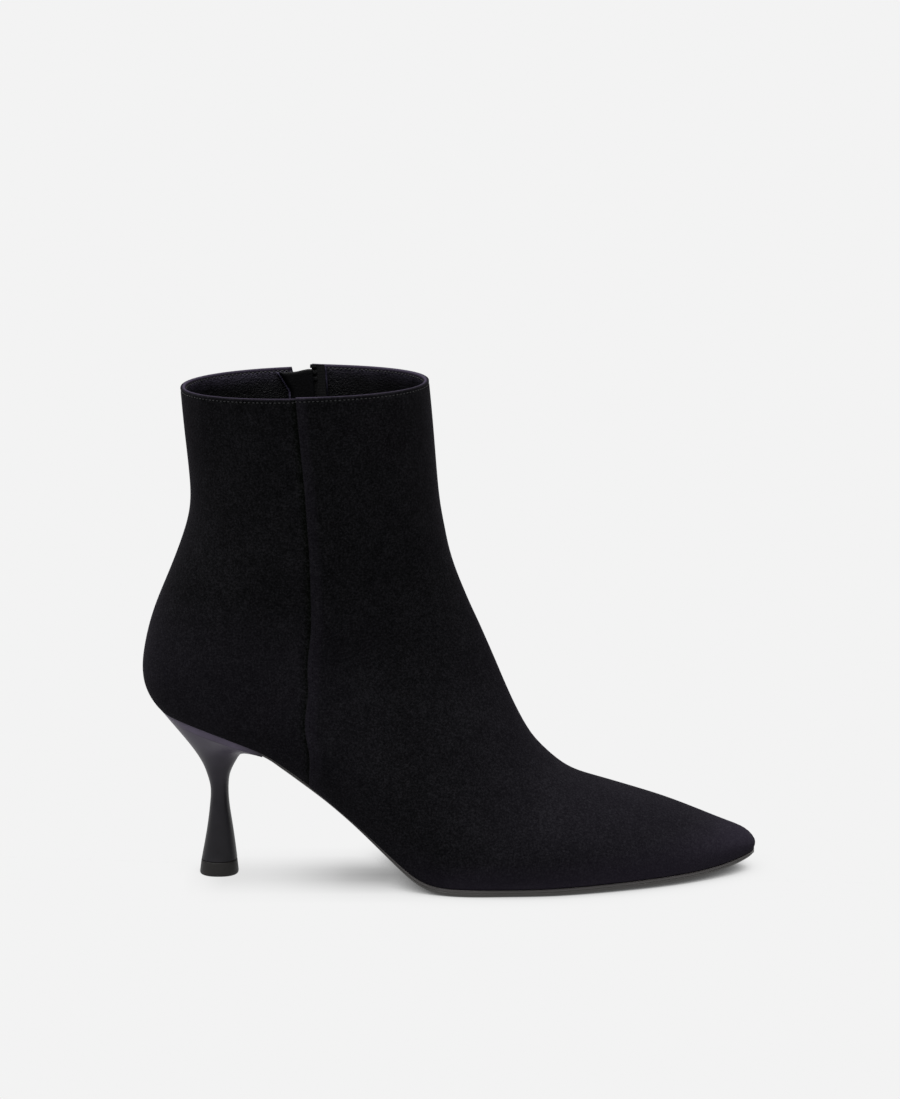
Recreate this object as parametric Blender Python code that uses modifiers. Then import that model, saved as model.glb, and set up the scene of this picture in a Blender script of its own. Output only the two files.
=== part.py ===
"""A pointed ankle boot for the right foot: suede upper, thin sole, waisted heel and a zip on the inner side.

The toe points along +X, the outer side faces -Y and +Z is up. Sizes are in millimetres on the boot's own
axes, with x counted from the back of the heel and z from the floor. Meshes are made in metres.
"""

import math

import bpy
import numpy as np
from mathutils import Matrix, Vector

MM = 0.001

# Driving dimensions, in millimetres
BALL_HALF = 39.5
WALL = 1.8
GAP = 0.3
SOLE_THICK = 3.0

# Insole: its edge lies inside the wall, and a few stations round its heel and its toe
INSOLE_THICK = 2.2
INSOLE_INSET = WALL + 0.9
INSOLE_BEVEL = 0.4
INSOLE_BACK_INSET = 3.2
INSOLE_HEEL_SHARES = (0.0, 0.12, 0.4)
INSOLE_TOE_X = (231.0, 237.0, 240.0)

# Stations that the outsole and the insole share, close in the waist and wider from the ball on
WAIST_FROM_X = 14.0
WAIST_TO_X = 124.0
WAIST_STEP = 5.5
FOREFOOT_STEP = 14.0
FOREFOOT_TO_X = 222.0

# Outsole along the foot: how far its edge stands out past the upper, its thickness and the bevel under its edge
OUTSOLE_COLUMNS = ("along", "extra", "thick", "bevel")
OUTSOLE_ROWS = (
    (49.6, -0.30, 1.00, 0.70),
    (56.0, -0.28, 1.40, 1.05),
    (70.0, -0.26, 1.90, 1.30),
    (100.0, -0.20, 2.62, 1.60),
    (118.0, 0.45, SOLE_THICK, 1.18),
    (125.0, 0.70, SOLE_THICK, 1.02),
    (130.0, 0.70, SOLE_THICK, 0.90),
    (225.0, 0.70, SOLE_THICK, 0.90),
    (251.3, 0.70, 2.20, 0.90),
)
OUTSOLE_TOE_FROM_X = 152.0
OUTSOLE_TOE_STATIONS = 16
OUTSOLE_TOE_EASE = 2.0

# A slab's edge stands upright over this share of its thickness, and its bevel takes at most a share of its width
UPRIGHT_SHARE = 0.55
WIDEST_BEVEL_SHARE = 0.4

# Sections of the last, from the collar down the shaft and then along the foot to the toe. Each lies in a plane
# across the boot, from a back or under point to a front or upper point. Half widths are shares of BALL_HALF.
# widest is where along the section its greatest width lies, and crown and keel are the powers of its two ends.
LAST_COLUMNS = ("back_x", "back_z", "front_x", "front_z", "outer", "inner", "centre", "widest", "crown", "keel")
LAST_ROWS = (
    (17.0, 204.6, 116.4, 207.0, 0.875, 0.875, 0.0, 0.50, 2.15, 2.15),
    (18.4, 187.0, 118.0, 189.8, 0.845, 0.845, 0.0, 0.50, 2.15, 2.15),
    (20.1, 168.0, 119.4, 172.0, 0.820, 0.820, 0.0, 0.50, 2.15, 2.15),
    (19.7, 153.4, 120.8, 157.5, 0.805, 0.805, 0.0, 0.49, 2.10, 2.20),
    (15.4, 139.0, 122.6, 147.0, 0.795, 0.795, 0.0, 0.48, 2.05, 2.25),
    (10.0, 125.5, 124.4, 138.2, 0.785, 0.785, 0.0, 0.46, 2.00, 2.30),
    (4.9, 113.0, 127.0, 129.5, 0.775, 0.775, 0.0, 0.44, 1.95, 2.35),
    (1.2, 100.0, 130.2, 121.2, 0.770, 0.770, 0.0, 0.42, 1.90, 2.40),
    (-0.3, 87.0, 133.5, 113.4, 0.765, 0.765, 0.0, 0.40, 1.85, 2.45),
    (2.8, 76.2, 136.7, 106.4, 0.760, 0.755, 0.0, 0.38, 1.80, 2.40),
    (10.4, 67.0, 140.0, 98.8, 0.760, 0.750, -0.1, 0.37, 1.78, 2.30),
    (20.5, 60.0, 143.4, 90.8, 0.765, 0.750, -0.3, 0.365, 1.76, 2.15),
    (37.0, 53.0, 146.8, 82.6, 0.785, 0.755, -0.5, 0.36, 1.75, 2.05),
    (57.0, 43.5, 150.4, 74.4, 0.815, 0.780, -0.8, 0.35, 1.75, 2.05),
    (78.0, 27.5, 154.2, 66.6, 0.860, 0.835, -1.0, 0.34, 1.75, 2.10),
    (99.0, 4.2, 158.6, 59.2, 0.915, 0.905, -0.8, 0.34, 1.75, 2.40),
    (120.0, -5.0, 164.6, 52.2, 0.965, 0.970, -0.3, 0.34, 1.80, 2.50),
    (140.0, -4.4, 174.6, 43.9, 0.995, 1.000, 0.3, 0.35, 1.85, 2.40),
    (160.0, -4.2, 187.0, 38.9, 0.970, 0.975, 1.0, 0.36, 1.90, 2.40),
    (180.0, -3.4, 200.5, 34.5, 0.885, 0.885, 1.8, 0.37, 1.95, 2.40),
    (200.0, -2.2, 214.3, 29.9, 0.755, 0.745, 2.6, 0.38, 2.00, 2.40),
    (218.0, -0.6, 227.6, 24.8, 0.595, 0.585, 3.2, 0.40, 2.00, 2.40),
    (232.0, 1.6, 238.8, 20.4, 0.425, 0.420, 3.6, 0.42, 2.00, 2.35),
    (241.5, 4.4, 246.8, 17.2, 0.280, 0.275, 3.8, 0.44, 2.00, 2.30),
    (247.0, 6.8, 250.8, 13.6, 0.165, 0.165, 3.9, 0.46, 2.00, 2.20),
    (249.8, 8.3, 251.5, 11.4, 0.075, 0.075, 4.0, 0.48, 2.00, 2.10),
    (250.8, 9.2, 251.2, 9.9, 0.004, 0.004, 4.0, 0.50, 2.00, 2.00),
)

# The line along which the upper meets the sole, as slopes in degrees: down towards the ball, up to the toe.
SLOPE_COLUMNS = ("along", "slope")
SLOPE_ROWS = (
    (0.0, 13.0),
    (12.0, 13.0),
    (30.0, 19.0),
    (46.0, 21.5),
    (55.0, 37.5),
    (75.0, 39.5),
    (84.0, 38.6),
    (92.0, 40.8),
    (100.0, 42.2),
    (105.5, 41.6),
    (110.0, 37.2),
    (114.0, 26.0),
    (118.0, 13.5),
    (122.0, 5.5),
    (127.0, 1.0),
    (132.0, 0.0),
    (152.0, 0.0),
    (165.0, -1.2),
    (200.0, -1.4),
    (222.0, -2.0),
    (232.0, -6.0),
    (244.0, -12.0),
    (253.0, -14.0),
)
BALL_X = 138.0
FEATHER_Z_AT_BALL = SOLE_THICK + GAP
SOLE_LINE_FROM_X = -2.0
SOLE_LINE_TO_X = 252.0
SOLE_LINE_STEPS = 1270

# The feather line's first section, where the back meets the sole, lies between these two
HEEL_CORNER_BETWEEN = (7.0, 12.0)

# Outer seam: the front panel laps over the back one. The zip mirrors it on the inner side.
SEAM_SHARE = 0.478
SEAM_FOOT_X = 68.0
SEAM_EDGE = 0.6
LAP_RAISE = 0.7
LAP_WIDTH = 7.0
LAP_FADE = 7.0

# Ribs round the upper and rows down it. Ahead of the seam the ribs' feet close up towards the toe by a power.
RIBS_BEHIND_SEAM = 10
RIBS_AHEAD_OF_SEAM = 17
TOE_CROWDING = 1.7
COLLAR_ROWS = (0.0, 0.018, 0.05)
ZIP_ROWS = 15
ZIP_ROWS_FROM = 0.10
SOLE_ROWS = (0.85, 0.90, 0.94, 0.97, 0.99, 1.0)

# How far the ribs lean forward of an even spread, as a share of a section's half length, by section
SWAY_COLUMNS = ("section", "sway")
SWAY_ROWS = (
    (0.0, 0.005),
    (2.0, 0.004),
    (3.0, 0.010),
    (4.0, 0.028),
    (5.0, 0.046),
    (6.0, 0.058),
    (7.2, 0.060),
    (8.2, 0.047),
    (9.2, 0.024),
    (10.2, -0.010),
    (11.2, -0.038),
    (12.0, -0.040),
    (13.0, 0.0),
    (18.0, 0.0),
    (26.0, 0.0),
)

# Zip: slit in the inner wall, chain, slider with its pull, and the guard flap behind it
SLIT_HALF = 2.8
SLIT_BORDER = 7.0
NOTCH_EXTRA = 1.4
NOTCH_DEPTH = 8.0
ZIP_END_SHARE = 0.78
STRIP_ROWS = 18
CHAIN_TOP_DROP = 12.5
CHAIN_END_GAP = 0.4
CHAIN_EDGE_DEPTH = 0.3
CHAIN_DEPTH = 1.5
GUARD_BEHIND = 9.0
GUARD_AHEAD = 4.5
GUARD_THICK = 1.1
GUARD_TOP_DROP = 0.8
GUARD_END_EXTRA = 0.02
GUARD_SEAM = 2.5
GUARD_STEP_FROM_SLIT = 1.4
GUARD_CLEARANCE = 1.9

# Slider: plates before and behind the wall, joined by a neck, with lugs and a pin that carry the pull
SLIDER_DROP = 11.0
SLIDER_SPAN_ACROSS = 3.0
SLIDER_SPAN_DOWN = 2.0
PLATE = (7.4, 10.0, 1.3)
PLATE_BEVEL = 0.4
BACK_PLATE_THICK = 1.0
SLIDER_NECK = (2.2, 2.4)
SLIDER_NECK_UP = 3.0
LUG = (1.1, 3.2)
LUG_OFF_MIDDLE = 2.6
LUG_OVER_AXIS = 0.9
ROOT_IN_PLATE = 0.6
PIN_RADIUS = 0.8
PIN_LENGTH = 5.4
PULL_AXIS_OUT = 3.9
PULL_AXIS_UP = 0.5

# Pull: an eye on the pin, a neck and a tab
EYE_RADIUS = 2.0
EYE_WIDTH = 3.0
PULL_NECK = 5.0
PULL_NECK_NARROWER = 0.4
PULL_NECK_THINNER = 0.2
PULL_NECK_IN_TAB = 1.0
PULL_SIZE = (5.0, 20.0, 1.4)
PULL_BEVEL = 0.5

# Heel: sections from the seat down to the top lift. Each lies in a plane from its back to its front point.
HEEL_BACK_POWER = 2.3
HEEL_RING_SIZE = 28
HEEL_COLUMNS = ("back_x", "back_z", "front_x", "front_z", "half", "breast", "seat")
HEEL_TOP = {"back_x": 6.5, "front_x": 49.3, "half": 24.2, "breast": 7.0}
HEEL_ROWS = (
    (8.7, 68.4, 48.9, 55.95, 23.4, 7.0, 1.0),
    (14.8, 60.6, 43.4, 55.2, 17.6, 5.0, 0.5),
    (19.4, 54.2, 40.0, 53.3, 12.8, 4.5, 0.15),
    (23.1, 47.8, 37.4, 49.2, 9.0, 3.8, 0.0),
    (25.1, 42.4, 34.7, 43.2, 6.5, 3.4, 0.0),
    (26.3, 37.2, 33.8, 37.6, 5.2, 3.2, 0.0),
    (26.2, 31.0, 33.9, 31.0, 5.1, 3.2, 0.0),
    (24.9, 20.5, 35.2, 20.5, 6.2, 3.2, 0.0),
    (22.3, 6.3, 36.9, 6.3, 7.8, 3.2, 0.0),
)
LIFT_ROWS = (
    (22.2, 6.0, 36.9, 6.0, 7.8, 3.2, 0.0),
    (21.4, 0.0, 37.5, 0.0, 8.1, 3.2, 0.0),
)

# Edges that turn by more than this, in degrees, stay sharp
SHARP_ANGLE = 40.0

# Colours, roughness and metal of each material
MATERIALS = {
    "suede": ((0.010, 0.010, 0.011), 0.95, 0.0),
    "sole_leather": ((0.030, 0.027, 0.025), 0.45, 0.0),
    "heel_lacquer": ((0.020, 0.019, 0.023), 0.35, 0.0),
    "lift_rubber": ((0.012, 0.012, 0.012), 0.6, 0.0),
    "lining": ((0.014, 0.013, 0.013), 0.6, 0.0),
    "zip_tape": ((0.010, 0.010, 0.011), 0.8, 0.0),
    "zip_metal": ((0.040, 0.040, 0.042), 0.35, 1.0),
}


def natural_spline(knots, values):
    """A twice smooth curve through the values at the knots."""
    knots = np.asarray(knots, float)
    values = np.asarray(values, float)
    steps = np.diff(knots)
    count = len(knots)
    system = np.eye(count)
    right = np.zeros(count)
    rises = np.diff(values) / steps
    for i in range(1, count - 1):
        system[i, i - 1 : i + 2] = steps[i - 1], 2 * (steps[i - 1] + steps[i]), steps[i]
        right[i] = 6 * (rises[i] - rises[i - 1])
    bends = np.linalg.solve(system, right)

    def at(x):
        i = np.clip(np.searchsorted(knots, x, side="right") - 1, 0, count - 2)
        h = steps[i]
        left = (knots[i + 1] - x) / h
        right_share = (x - knots[i]) / h
        curve = (left**3 - left) * bends[i] + (right_share**3 - right_share) * bends[i + 1]
        return left * values[i] + right_share * values[i + 1] + curve * h * h / 6

    return at


def columns_of(names, rows):
    """The columns of a table, by name."""
    return dict(zip(names, np.array(rows, float).T))


LAST = columns_of(LAST_COLUMNS, LAST_ROWS)
LAST_END = len(LAST_ROWS) - 1
LAST_CURVES = {name: natural_spline(range(len(LAST_ROWS)), values) for name, values in LAST.items()}
SLOPES = columns_of(SLOPE_COLUMNS, SLOPE_ROWS)
SWAYS = columns_of(SWAY_COLUMNS, SWAY_ROWS)
OUTSOLE = columns_of(OUTSOLE_COLUMNS, OUTSOLE_ROWS)


def section(s):
    """The last's values at section s, which runs from 0 at the collar to LAST_END at the toe."""
    return {name: float(curve(s)) for name, curve in LAST_CURVES.items()}


def make_sole_line():
    """Height of the feather line over the floor at each x, summed up from the slopes."""
    x = np.linspace(SOLE_LINE_FROM_X, SOLE_LINE_TO_X, SOLE_LINE_STEPS + 1)
    fall = np.tan(np.radians(np.interp(x, SLOPES["along"], SLOPES["slope"])))
    drop = np.concatenate([[0.0], np.cumsum((fall[1:] + fall[:-1]) / 2 * np.diff(x))])
    return x, FEATHER_Z_AT_BALL + np.interp(BALL_X, x, drop) - drop


SOLE_X, SOLE_Z = make_sole_line()


def sole_height(x):
    return np.interp(x, SOLE_X, SOLE_Z)


def cut_share(row):
    """How far along a section the sole cuts it off: 0 where the section stays above the sole."""
    share = np.linspace(0.0, row["widest"], 400)
    x = row["back_x"] + share * (row["front_x"] - row["back_x"])
    z = row["back_z"] + share * (row["front_z"] - row["back_z"])
    above = z - sole_height(x)
    if above[0] >= 0:
        return 0.0
    return float(np.interp(0.0, above, share))


def half_section(s, side, samples=90):
    """Points of one side of section s, from the sole or back up to the ridge. side is -1 outside, 1 inside."""
    row = section(s)
    widest = row["widest"]
    lowest = (1 - cut_share(row) / widest) ** (row["keel"] / 2)
    low = np.linspace(math.asin(min(1.0, lowest)), 0.0, samples)
    high = np.linspace(math.pi / 2, 0.0, samples)[1:]
    share = np.concatenate(
        [
            widest - widest * np.sin(low) ** (2 / row["keel"]),
            widest + (1 - widest) * np.cos(high) ** (2 / row["crown"]),
        ]
    )
    width = np.concatenate([np.cos(low) ** (2 / row["keel"]), np.sin(high) ** (2 / row["crown"])])
    half = row["outer" if side < 0 else "inner"] * BALL_HALF
    x = row["back_x"] + share * (row["front_x"] - row["back_x"])
    z = row["back_z"] + share * (row["front_z"] - row["back_z"])
    return np.stack([x, row["centre"] + side * half * width, z], axis=1)


def lengths_along(points):
    return np.concatenate([[0.0], np.cumsum(np.linalg.norm(np.diff(points, axis=0), axis=1))])


def point_on_section(s, share, side):
    """The point at that share of the way, by length, from the sole or back to the ridge."""
    points = half_section(s, side)
    run = lengths_along(points)
    return np.array([np.interp(share * run[-1], run, points[:, k]) for k in range(3)])


def find_heel_corner():
    """The section whose back point lies on the sole line: the feather line starts there."""
    s = np.linspace(*HEEL_CORNER_BETWEEN, 2001)
    above = np.array([LAST_CURVES["back_z"](v) - sole_height(LAST_CURVES["back_x"](v)) for v in s])
    return float(np.interp(0.0, -above, s))


HEEL_CORNER = find_heel_corner()


def make_feather(side, samples=400):
    """Where the upper meets the sole on one side: sections, points and lengths from the heel to the toe."""
    turn = np.linspace(0.0, 1.0, samples)
    s = HEEL_CORNER + (LAST_END - HEEL_CORNER) * turn**2 * (3 - 2 * turn)
    points = np.array([half_section(v, side, 12)[0] for v in s])
    return s, points, lengths_along(points)


FEATHERS = {side: make_feather(side) for side in (-1, 1)}


def feather_half(x, side):
    """Signed y of the feather line at x."""
    _, points, _ = FEATHERS[side]
    return np.interp(x, points[:, 0], points[:, 1])


def foot_section(share, side):
    """The section where the rib from this share of the collar, counted from the back, ends on the sole."""
    s, points, run = FEATHERS[side]
    seam_run = np.interp(SEAM_FOOT_X, points[:, 0], run)
    behind = np.clip(share / SEAM_SHARE, 0.0, 1.0)
    ahead = np.clip((share - SEAM_SHARE) / (1 - SEAM_SHARE), 0.0, 1.0)
    crowded = 1 - (1 - ahead) ** TOE_CROWDING
    return np.interp(seam_run * behind + (run[-1] - seam_run) * crowded, run, s)


SWAY = natural_spline(SWAYS["section"], SWAYS["sway"])
COLLAR_SHARES = np.linspace(0.0, 1.0, 801)
FOOT_SECTIONS = {side: foot_section(COLLAR_SHARES, side) for side in (-1, 1)}


def rib_point(share, s, side):
    """A point of the rib from this share of the collar, where it crosses section s."""
    passed = np.interp(s, FOOT_SECTIONS[side], COLLAR_SHARES)
    even = max(0.0, (share - passed) / max(1e-6, 1 - passed))
    return point_on_section(s, even + SWAY(s) * 4 * even * (1 - even), side)


def rib(share, side, rows, samples=70):
    """Points of a rib at these shares of its length, from the collar at 0 to the sole at 1."""
    end = float(np.interp(share, COLLAR_SHARES, FOOT_SECTIONS[side]))
    path = end * np.sin(np.linspace(0.0, math.pi / 2, samples))
    points = np.array([rib_point(share, s, side) for s in path])
    run = lengths_along(points) / lengths_along(points)[-1]
    return np.stack([np.interp(rows, run, points[:, k]) for k in range(3)], axis=1)


def normals_of(grid, closed):
    """Unit normals of a grid of points indexed round the boot and down it, pointing out of the boot."""
    if closed:
        around = np.roll(grid, -1, axis=0) - np.roll(grid, 1, axis=0)
    else:
        around = np.gradient(grid, axis=0)
    down = np.gradient(grid, axis=1)
    normal = np.cross(down, around)
    return normal / np.linalg.norm(normal, axis=2, keepdims=True)


def shell_faces(columns, rows, closed, missing=()):
    """Outer and inner faces of a wall over a grid, with rims along open edges. missing holds cells left out."""
    count = columns * rows

    def index(i, k):
        return (i % columns) * rows + k

    outer = []
    for i in range(columns if closed else columns - 1):
        for k in range(rows - 1):
            if (i, k) not in missing:
                outer.append((index(i, k), index(i, k + 1), index(i + 1, k + 1), index(i + 1, k)))
    used = {}
    for face in outer:
        for a, b in zip(face, face[1:] + face[:1]):
            used[(a, b)] = True
    rims = [(b, a, a + count, b + count) for a, b in used if (b, a) not in used]
    inner = [tuple(v + count for v in reversed(face)) for face in outer]
    return outer + inner + rims


def loft_faces(rings, size):
    """Faces of a tube over rings of the same size, with a ladder of quads across each end."""
    faces = []
    for r in range(rings - 1):
        for i in range(size):
            a, b = r * size + i, r * size + (i + 1) % size
            faces.append((a, b, b + size, a + size))
    for start, turned in ((0, True), ((rings - 1) * size, False)):
        cap = [(start, start + 1, start + size - 1)]
        for i in range(1, size // 2):
            cap.append((start + i, start + i + 1, start + size - i - 1, start + size - i))
        cap = [tuple(dict.fromkeys(face)) for face in cap]
        faces += [face[::-1] for face in cap] if turned else cap
    return faces


def make_material(name):
    colour, roughness, metallic = MATERIALS[name]
    material = bpy.data.materials.new(name)
    material.use_nodes = True
    shader = material.node_tree.nodes["Principled BSDF"]
    shader.inputs["Base Color"].default_value = (*colour, 1.0)
    shader.inputs["Roughness"].default_value = roughness
    shader.inputs["Metallic"].default_value = metallic
    material.diffuse_color = (*colour, 1.0)
    return material


def add_object(name, points, faces, material, root):
    """A mesh object from points in millimetres, parented to the boot's root."""
    mesh = bpy.data.meshes.new(name)
    mesh.from_pydata([tuple(float(v) * MM for v in p) for p in points], [], faces)
    mesh.validate()
    mesh.shade_smooth()
    mesh.set_sharp_from_angle(angle=math.radians(SHARP_ANGLE))
    obj = bpy.data.objects.new(name, mesh)
    obj.data.materials.append(material)
    bpy.data.collections["ankle_boot"].objects.link(obj)
    obj.parent = root
    return obj


def around_shares(side):
    """Collar shares of the ribs on one side, from the back to the front, closer at the seam or the slit."""
    half_arc = lengths_along(half_section(0.0, side))[-1]
    if side < 0:
        edges = [0.0, SEAM_EDGE, LAP_WIDTH, LAP_WIDTH + LAP_FADE]
    else:
        edges = [-SLIT_BORDER, -SLIT_HALF, SLIT_HALF, SLIT_BORDER]
    edges = [SEAM_SHARE + e / half_arc for e in edges]
    behind = np.linspace(0.0, edges[0], RIBS_BEHIND_SEAM + 1)[:-1]
    ahead = np.linspace(edges[-1], 1.0, RIBS_AHEAD_OF_SEAM + 1)[1:]
    return np.concatenate([behind, edges, ahead]), half_arc


def row_shares():
    """Places of the rows down the ribs: close at the collar and the sole, with one at the zip's lower end."""
    return np.concatenate([COLLAR_ROWS, np.linspace(ZIP_ROWS_FROM, ZIP_END_SHARE, ZIP_ROWS), SOLE_ROWS])


def lap_height(from_seam):
    """How far the front panel stands proud, by distance ahead of the seam."""
    fade = np.interp(from_seam, [LAP_WIDTH, LAP_WIDTH + LAP_FADE], [1.0, 0.0])
    return LAP_RAISE * np.where(from_seam > SEAM_EDGE / 2, fade, 0.0)


def notch_half(drop):
    """Half the slit's width, by distance below the collar: it opens in a V at the top."""
    return SLIT_HALF + NOTCH_EXTRA * np.clip(1 - drop / NOTCH_DEPTH, 0.0, 1.0)


def make_upper(root, material):
    rows = row_shares()
    outer_shares, outer_arc = around_shares(-1)
    inner_shares, inner_arc = around_shares(1)
    slit = int(np.argmin(abs(inner_shares - (SEAM_SHARE - SLIT_HALF / inner_arc))))
    outer_ribs = [rib(share, -1, rows) for share in outer_shares]
    inner_ribs = [rib(share, 1, rows) for share in inner_shares]
    for i, sign in ((slit, -1), (slit + 1, 1)):
        for k, drop in enumerate(lengths_along(inner_ribs[i])):
            share = SEAM_SHARE + sign * notch_half(drop) / inner_arc
            inner_ribs[i][k] = rib(share, 1, rows[k : k + 1])[0]
    # Round the boot: outer side from back to front, then inner side back again, without its two end ribs.
    grid = np.array(outer_ribs + inner_ribs[-2:0:-1])
    columns = len(grid)
    normal = normals_of(grid, closed=True)
    raised = np.zeros(columns)
    raised[: len(outer_shares)] = lap_height((outer_shares - SEAM_SHARE) * outer_arc)
    outside = grid + normal * raised[:, None, None]
    inside = grid - normal * WALL
    inside[:, -1, 2] = grid[:, -1, 2]
    slit_column = len(outer_shares) + len(inner_shares) - 2 - (slit + 1)
    open_rows = int(np.argmin(abs(rows - ZIP_END_SHARE)))
    missing = {(slit_column, k) for k in range(open_rows)}
    points = np.concatenate([outside.reshape(-1, 3), inside.reshape(-1, 3)])
    return add_object("upper", points, shell_faces(columns, len(rows), True, missing), material, root)


def sole_outline(x, side, extra):
    """Signed y of the feather line moved outwards by extra, or inwards where extra is below 0."""
    reach = abs(extra)
    shift = np.linspace(-reach, reach, 41)
    moved = side * feather_half(x + shift, side) + math.copysign(1.0, extra) * np.sqrt(reach**2 - shift**2)
    return side * (moved.max() if extra > 0 else moved.min())


def make_slab(name, stations, extra, top, thick, bevel, material, root):
    """A flat piece under the foot: at each station its edge runs down from the top and in to the bottom."""
    rings = []
    for x in stations:
        z = float(sole_height(x)) + top
        deep = thick(x)
        cut = bevel(x)
        left, right = sole_outline(x, -1, extra(x)), sole_outline(x, 1, extra(x))
        middle = (left + right) / 2
        cut = min(cut, WIDEST_BEVEL_SHARE * (right - left))
        shoulder = z - deep * UPRIGHT_SHARE
        rings.append(
            [
                (x, middle, z),
                (x, left, z),
                (x, left, shoulder),
                (x, left + cut, z - deep),
                (x, middle, z - deep),
                (x, right - cut, z - deep),
                (x, right, shoulder),
                (x, right, z),
            ]
        )
    points = np.array(rings).reshape(-1, 3)
    return add_object(name, points, loft_faces(len(rings), 8), material, root)


def eased_stations(start, end, count, power):
    """Stations from start to end that close up towards the end."""
    return start + (end - start) * (1 - (1 - np.linspace(0.0, 1.0, count)) ** power)


def foot_stations(start, end):
    """Stations shared by the pieces that lie along the foot, so that their facets run side by side."""
    waist = np.arange(WAIST_FROM_X, WAIST_TO_X, WAIST_STEP)
    forefoot = np.arange(WAIST_TO_X, FOREFOOT_TO_X + FOREFOOT_STEP / 2, FOREFOOT_STEP)
    shared = np.concatenate([waist, forefoot])
    return shared[(shared >= start) & (shared <= end)]


def make_outsole(root, material):
    start, end = OUTSOLE["along"][0], OUTSOLE["along"][-1]
    toe = eased_stations(OUTSOLE_TOE_FROM_X, end, OUTSOLE_TOE_STATIONS, OUTSOLE_TOE_EASE)
    shared = foot_stations(start + SOLE_THICK / 2, OUTSOLE_TOE_FROM_X)
    stations = np.unique(np.concatenate([[start], shared, toe]))
    extra, thick, bevel = [
        lambda x, values=OUTSOLE[name]: np.interp(x, OUTSOLE["along"], values)
        for name in ("extra", "thick", "bevel")
    ]
    return make_slab("outsole", stations, extra, -GAP, thick, bevel, material, root)


def make_insole(root, material):
    _, heel_points, _ = FEATHERS[1]
    start = heel_points[0, 0] + INSOLE_BACK_INSET
    heel = start + (WAIST_FROM_X - start) * np.array(INSOLE_HEEL_SHARES)
    stations = np.concatenate([heel, foot_stations(WAIST_FROM_X, FOREFOOT_TO_X), INSOLE_TOE_X])
    extra, thick, bevel = [
        lambda x, value=value: value for value in (-INSOLE_INSET, INSOLE_THICK, INSOLE_BEVEL)
    ]
    return make_slab("insole", stations, extra, INSOLE_THICK, thick, bevel, material, root)


def seat_point(along, across):
    """The place on the upper's lower edge, and on a straight breast, that goes with a place on a round ring."""
    if along > 0:
        reach = max(along, abs(across))
        along, across = along / reach, across / reach
    else:
        across = np.sign(across)
    x = HEEL_TOP["back_x"] + (along + 1) / 2 * (HEEL_TOP["front_x"] - HEEL_TOP["back_x"])
    width = abs(float(feather_half(x, -1 if across > 0 else 1)))
    return along, across * width / HEEL_TOP["half"]


def heel_ring(row):
    """A ring round the heel in the plane from its back to its front: round behind, blunt at the breast."""
    at = dict(zip(HEEL_COLUMNS, row))
    ring = []
    for step in range(HEEL_RING_SIZE):
        angle = 2 * math.pi * step / HEEL_RING_SIZE
        power = HEEL_BACK_POWER if math.cos(angle) > 0 else at["breast"]
        along = -math.copysign(abs(math.cos(angle)) ** (2 / power), math.cos(angle))
        across = math.copysign(abs(math.sin(angle)) ** (2 / power), math.sin(angle)) if step else 0.0
        seat_along, seat_across = seat_point(along, across)
        along += at["seat"] * (seat_along - along)
        across += at["seat"] * (seat_across - across)
        share = (along + 1) / 2
        x = at["back_x"] + share * (at["front_x"] - at["back_x"])
        z = at["back_z"] + share * (at["front_z"] - at["back_z"])
        ring.append((x, -at["half"] * across, z))
    return ring


def heel_object(name, rings, material, root):
    points = np.array(rings).reshape(-1, 3)
    faces = [face[::-1] for face in loft_faces(len(rings), HEEL_RING_SIZE)]
    return add_object(name, points, faces, material, root)


def make_heel(root, material):
    flat = (HEEL_TOP["back_x"], 0.0, HEEL_TOP["front_x"], 0.0, HEEL_TOP["half"], HEEL_TOP["breast"], 1.0)
    top = [(x, y, float(sole_height(x)) - GAP) for x, y, _ in heel_ring(flat)]
    return heel_object("heel", [top] + [heel_ring(row) for row in HEEL_ROWS], material, root)


def make_top_lift(root, material):
    return heel_object("top_lift", [heel_ring(row) for row in LIFT_ROWS], material, root)


def zip_strip(name, offsets, outside, inside, rows, material, root):
    """A strip along the zip: offsets are distances ahead of its middle, outside and inside its two faces."""
    arc = lengths_along(half_section(0.0, 1))[-1]
    grid = np.array([rib(SEAM_SHARE + offset / arc, 1, rows) for offset in offsets[::-1]])
    normal = normals_of(grid, closed=False)
    out = np.array(outside[::-1])[:, None, None]
    into = np.array(inside[::-1])[:, None, None]
    points = np.concatenate([(grid + normal * out).reshape(-1, 3), (grid + normal * into).reshape(-1, 3)])
    return add_object(name, points, shell_faces(len(grid), len(rows), False), material, root)


def zip_length():
    """Length of the zip's middle rib."""
    return lengths_along(rib(SEAM_SHARE, 1, np.linspace(0.0, 1.0, 60)))[-1]


def make_zip_chain(root, material):
    length = zip_length()
    half = SLIT_HALF - GAP
    rows = np.linspace(CHAIN_TOP_DROP / length, ZIP_END_SHARE - CHAIN_END_GAP / length, STRIP_ROWS)
    outside = [-CHAIN_EDGE_DEPTH, 0.0, -CHAIN_EDGE_DEPTH]
    return zip_strip("zip_chain", [-half, 0.0, half], outside, [-CHAIN_DEPTH] * 3, rows, material, root)


def make_zip_guard(root, material):
    length = zip_length()
    rows = np.linspace(GUARD_TOP_DROP / length, ZIP_END_SHARE + GUARD_END_EXTRA, STRIP_ROWS)
    near, far = -WALL - GAP, -WALL - GUARD_CLEARANCE
    step_from = -SLIT_HALF - GUARD_STEP_FROM_SLIT
    offsets = [-GUARD_BEHIND, -GUARD_BEHIND + GUARD_SEAM, step_from, SLIT_HALF, GUARD_AHEAD]
    faces = [near, near, far, far, far]
    return zip_strip("zip_guard", offsets, faces, [f - GUARD_THICK for f in faces], rows, material, root)


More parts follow.
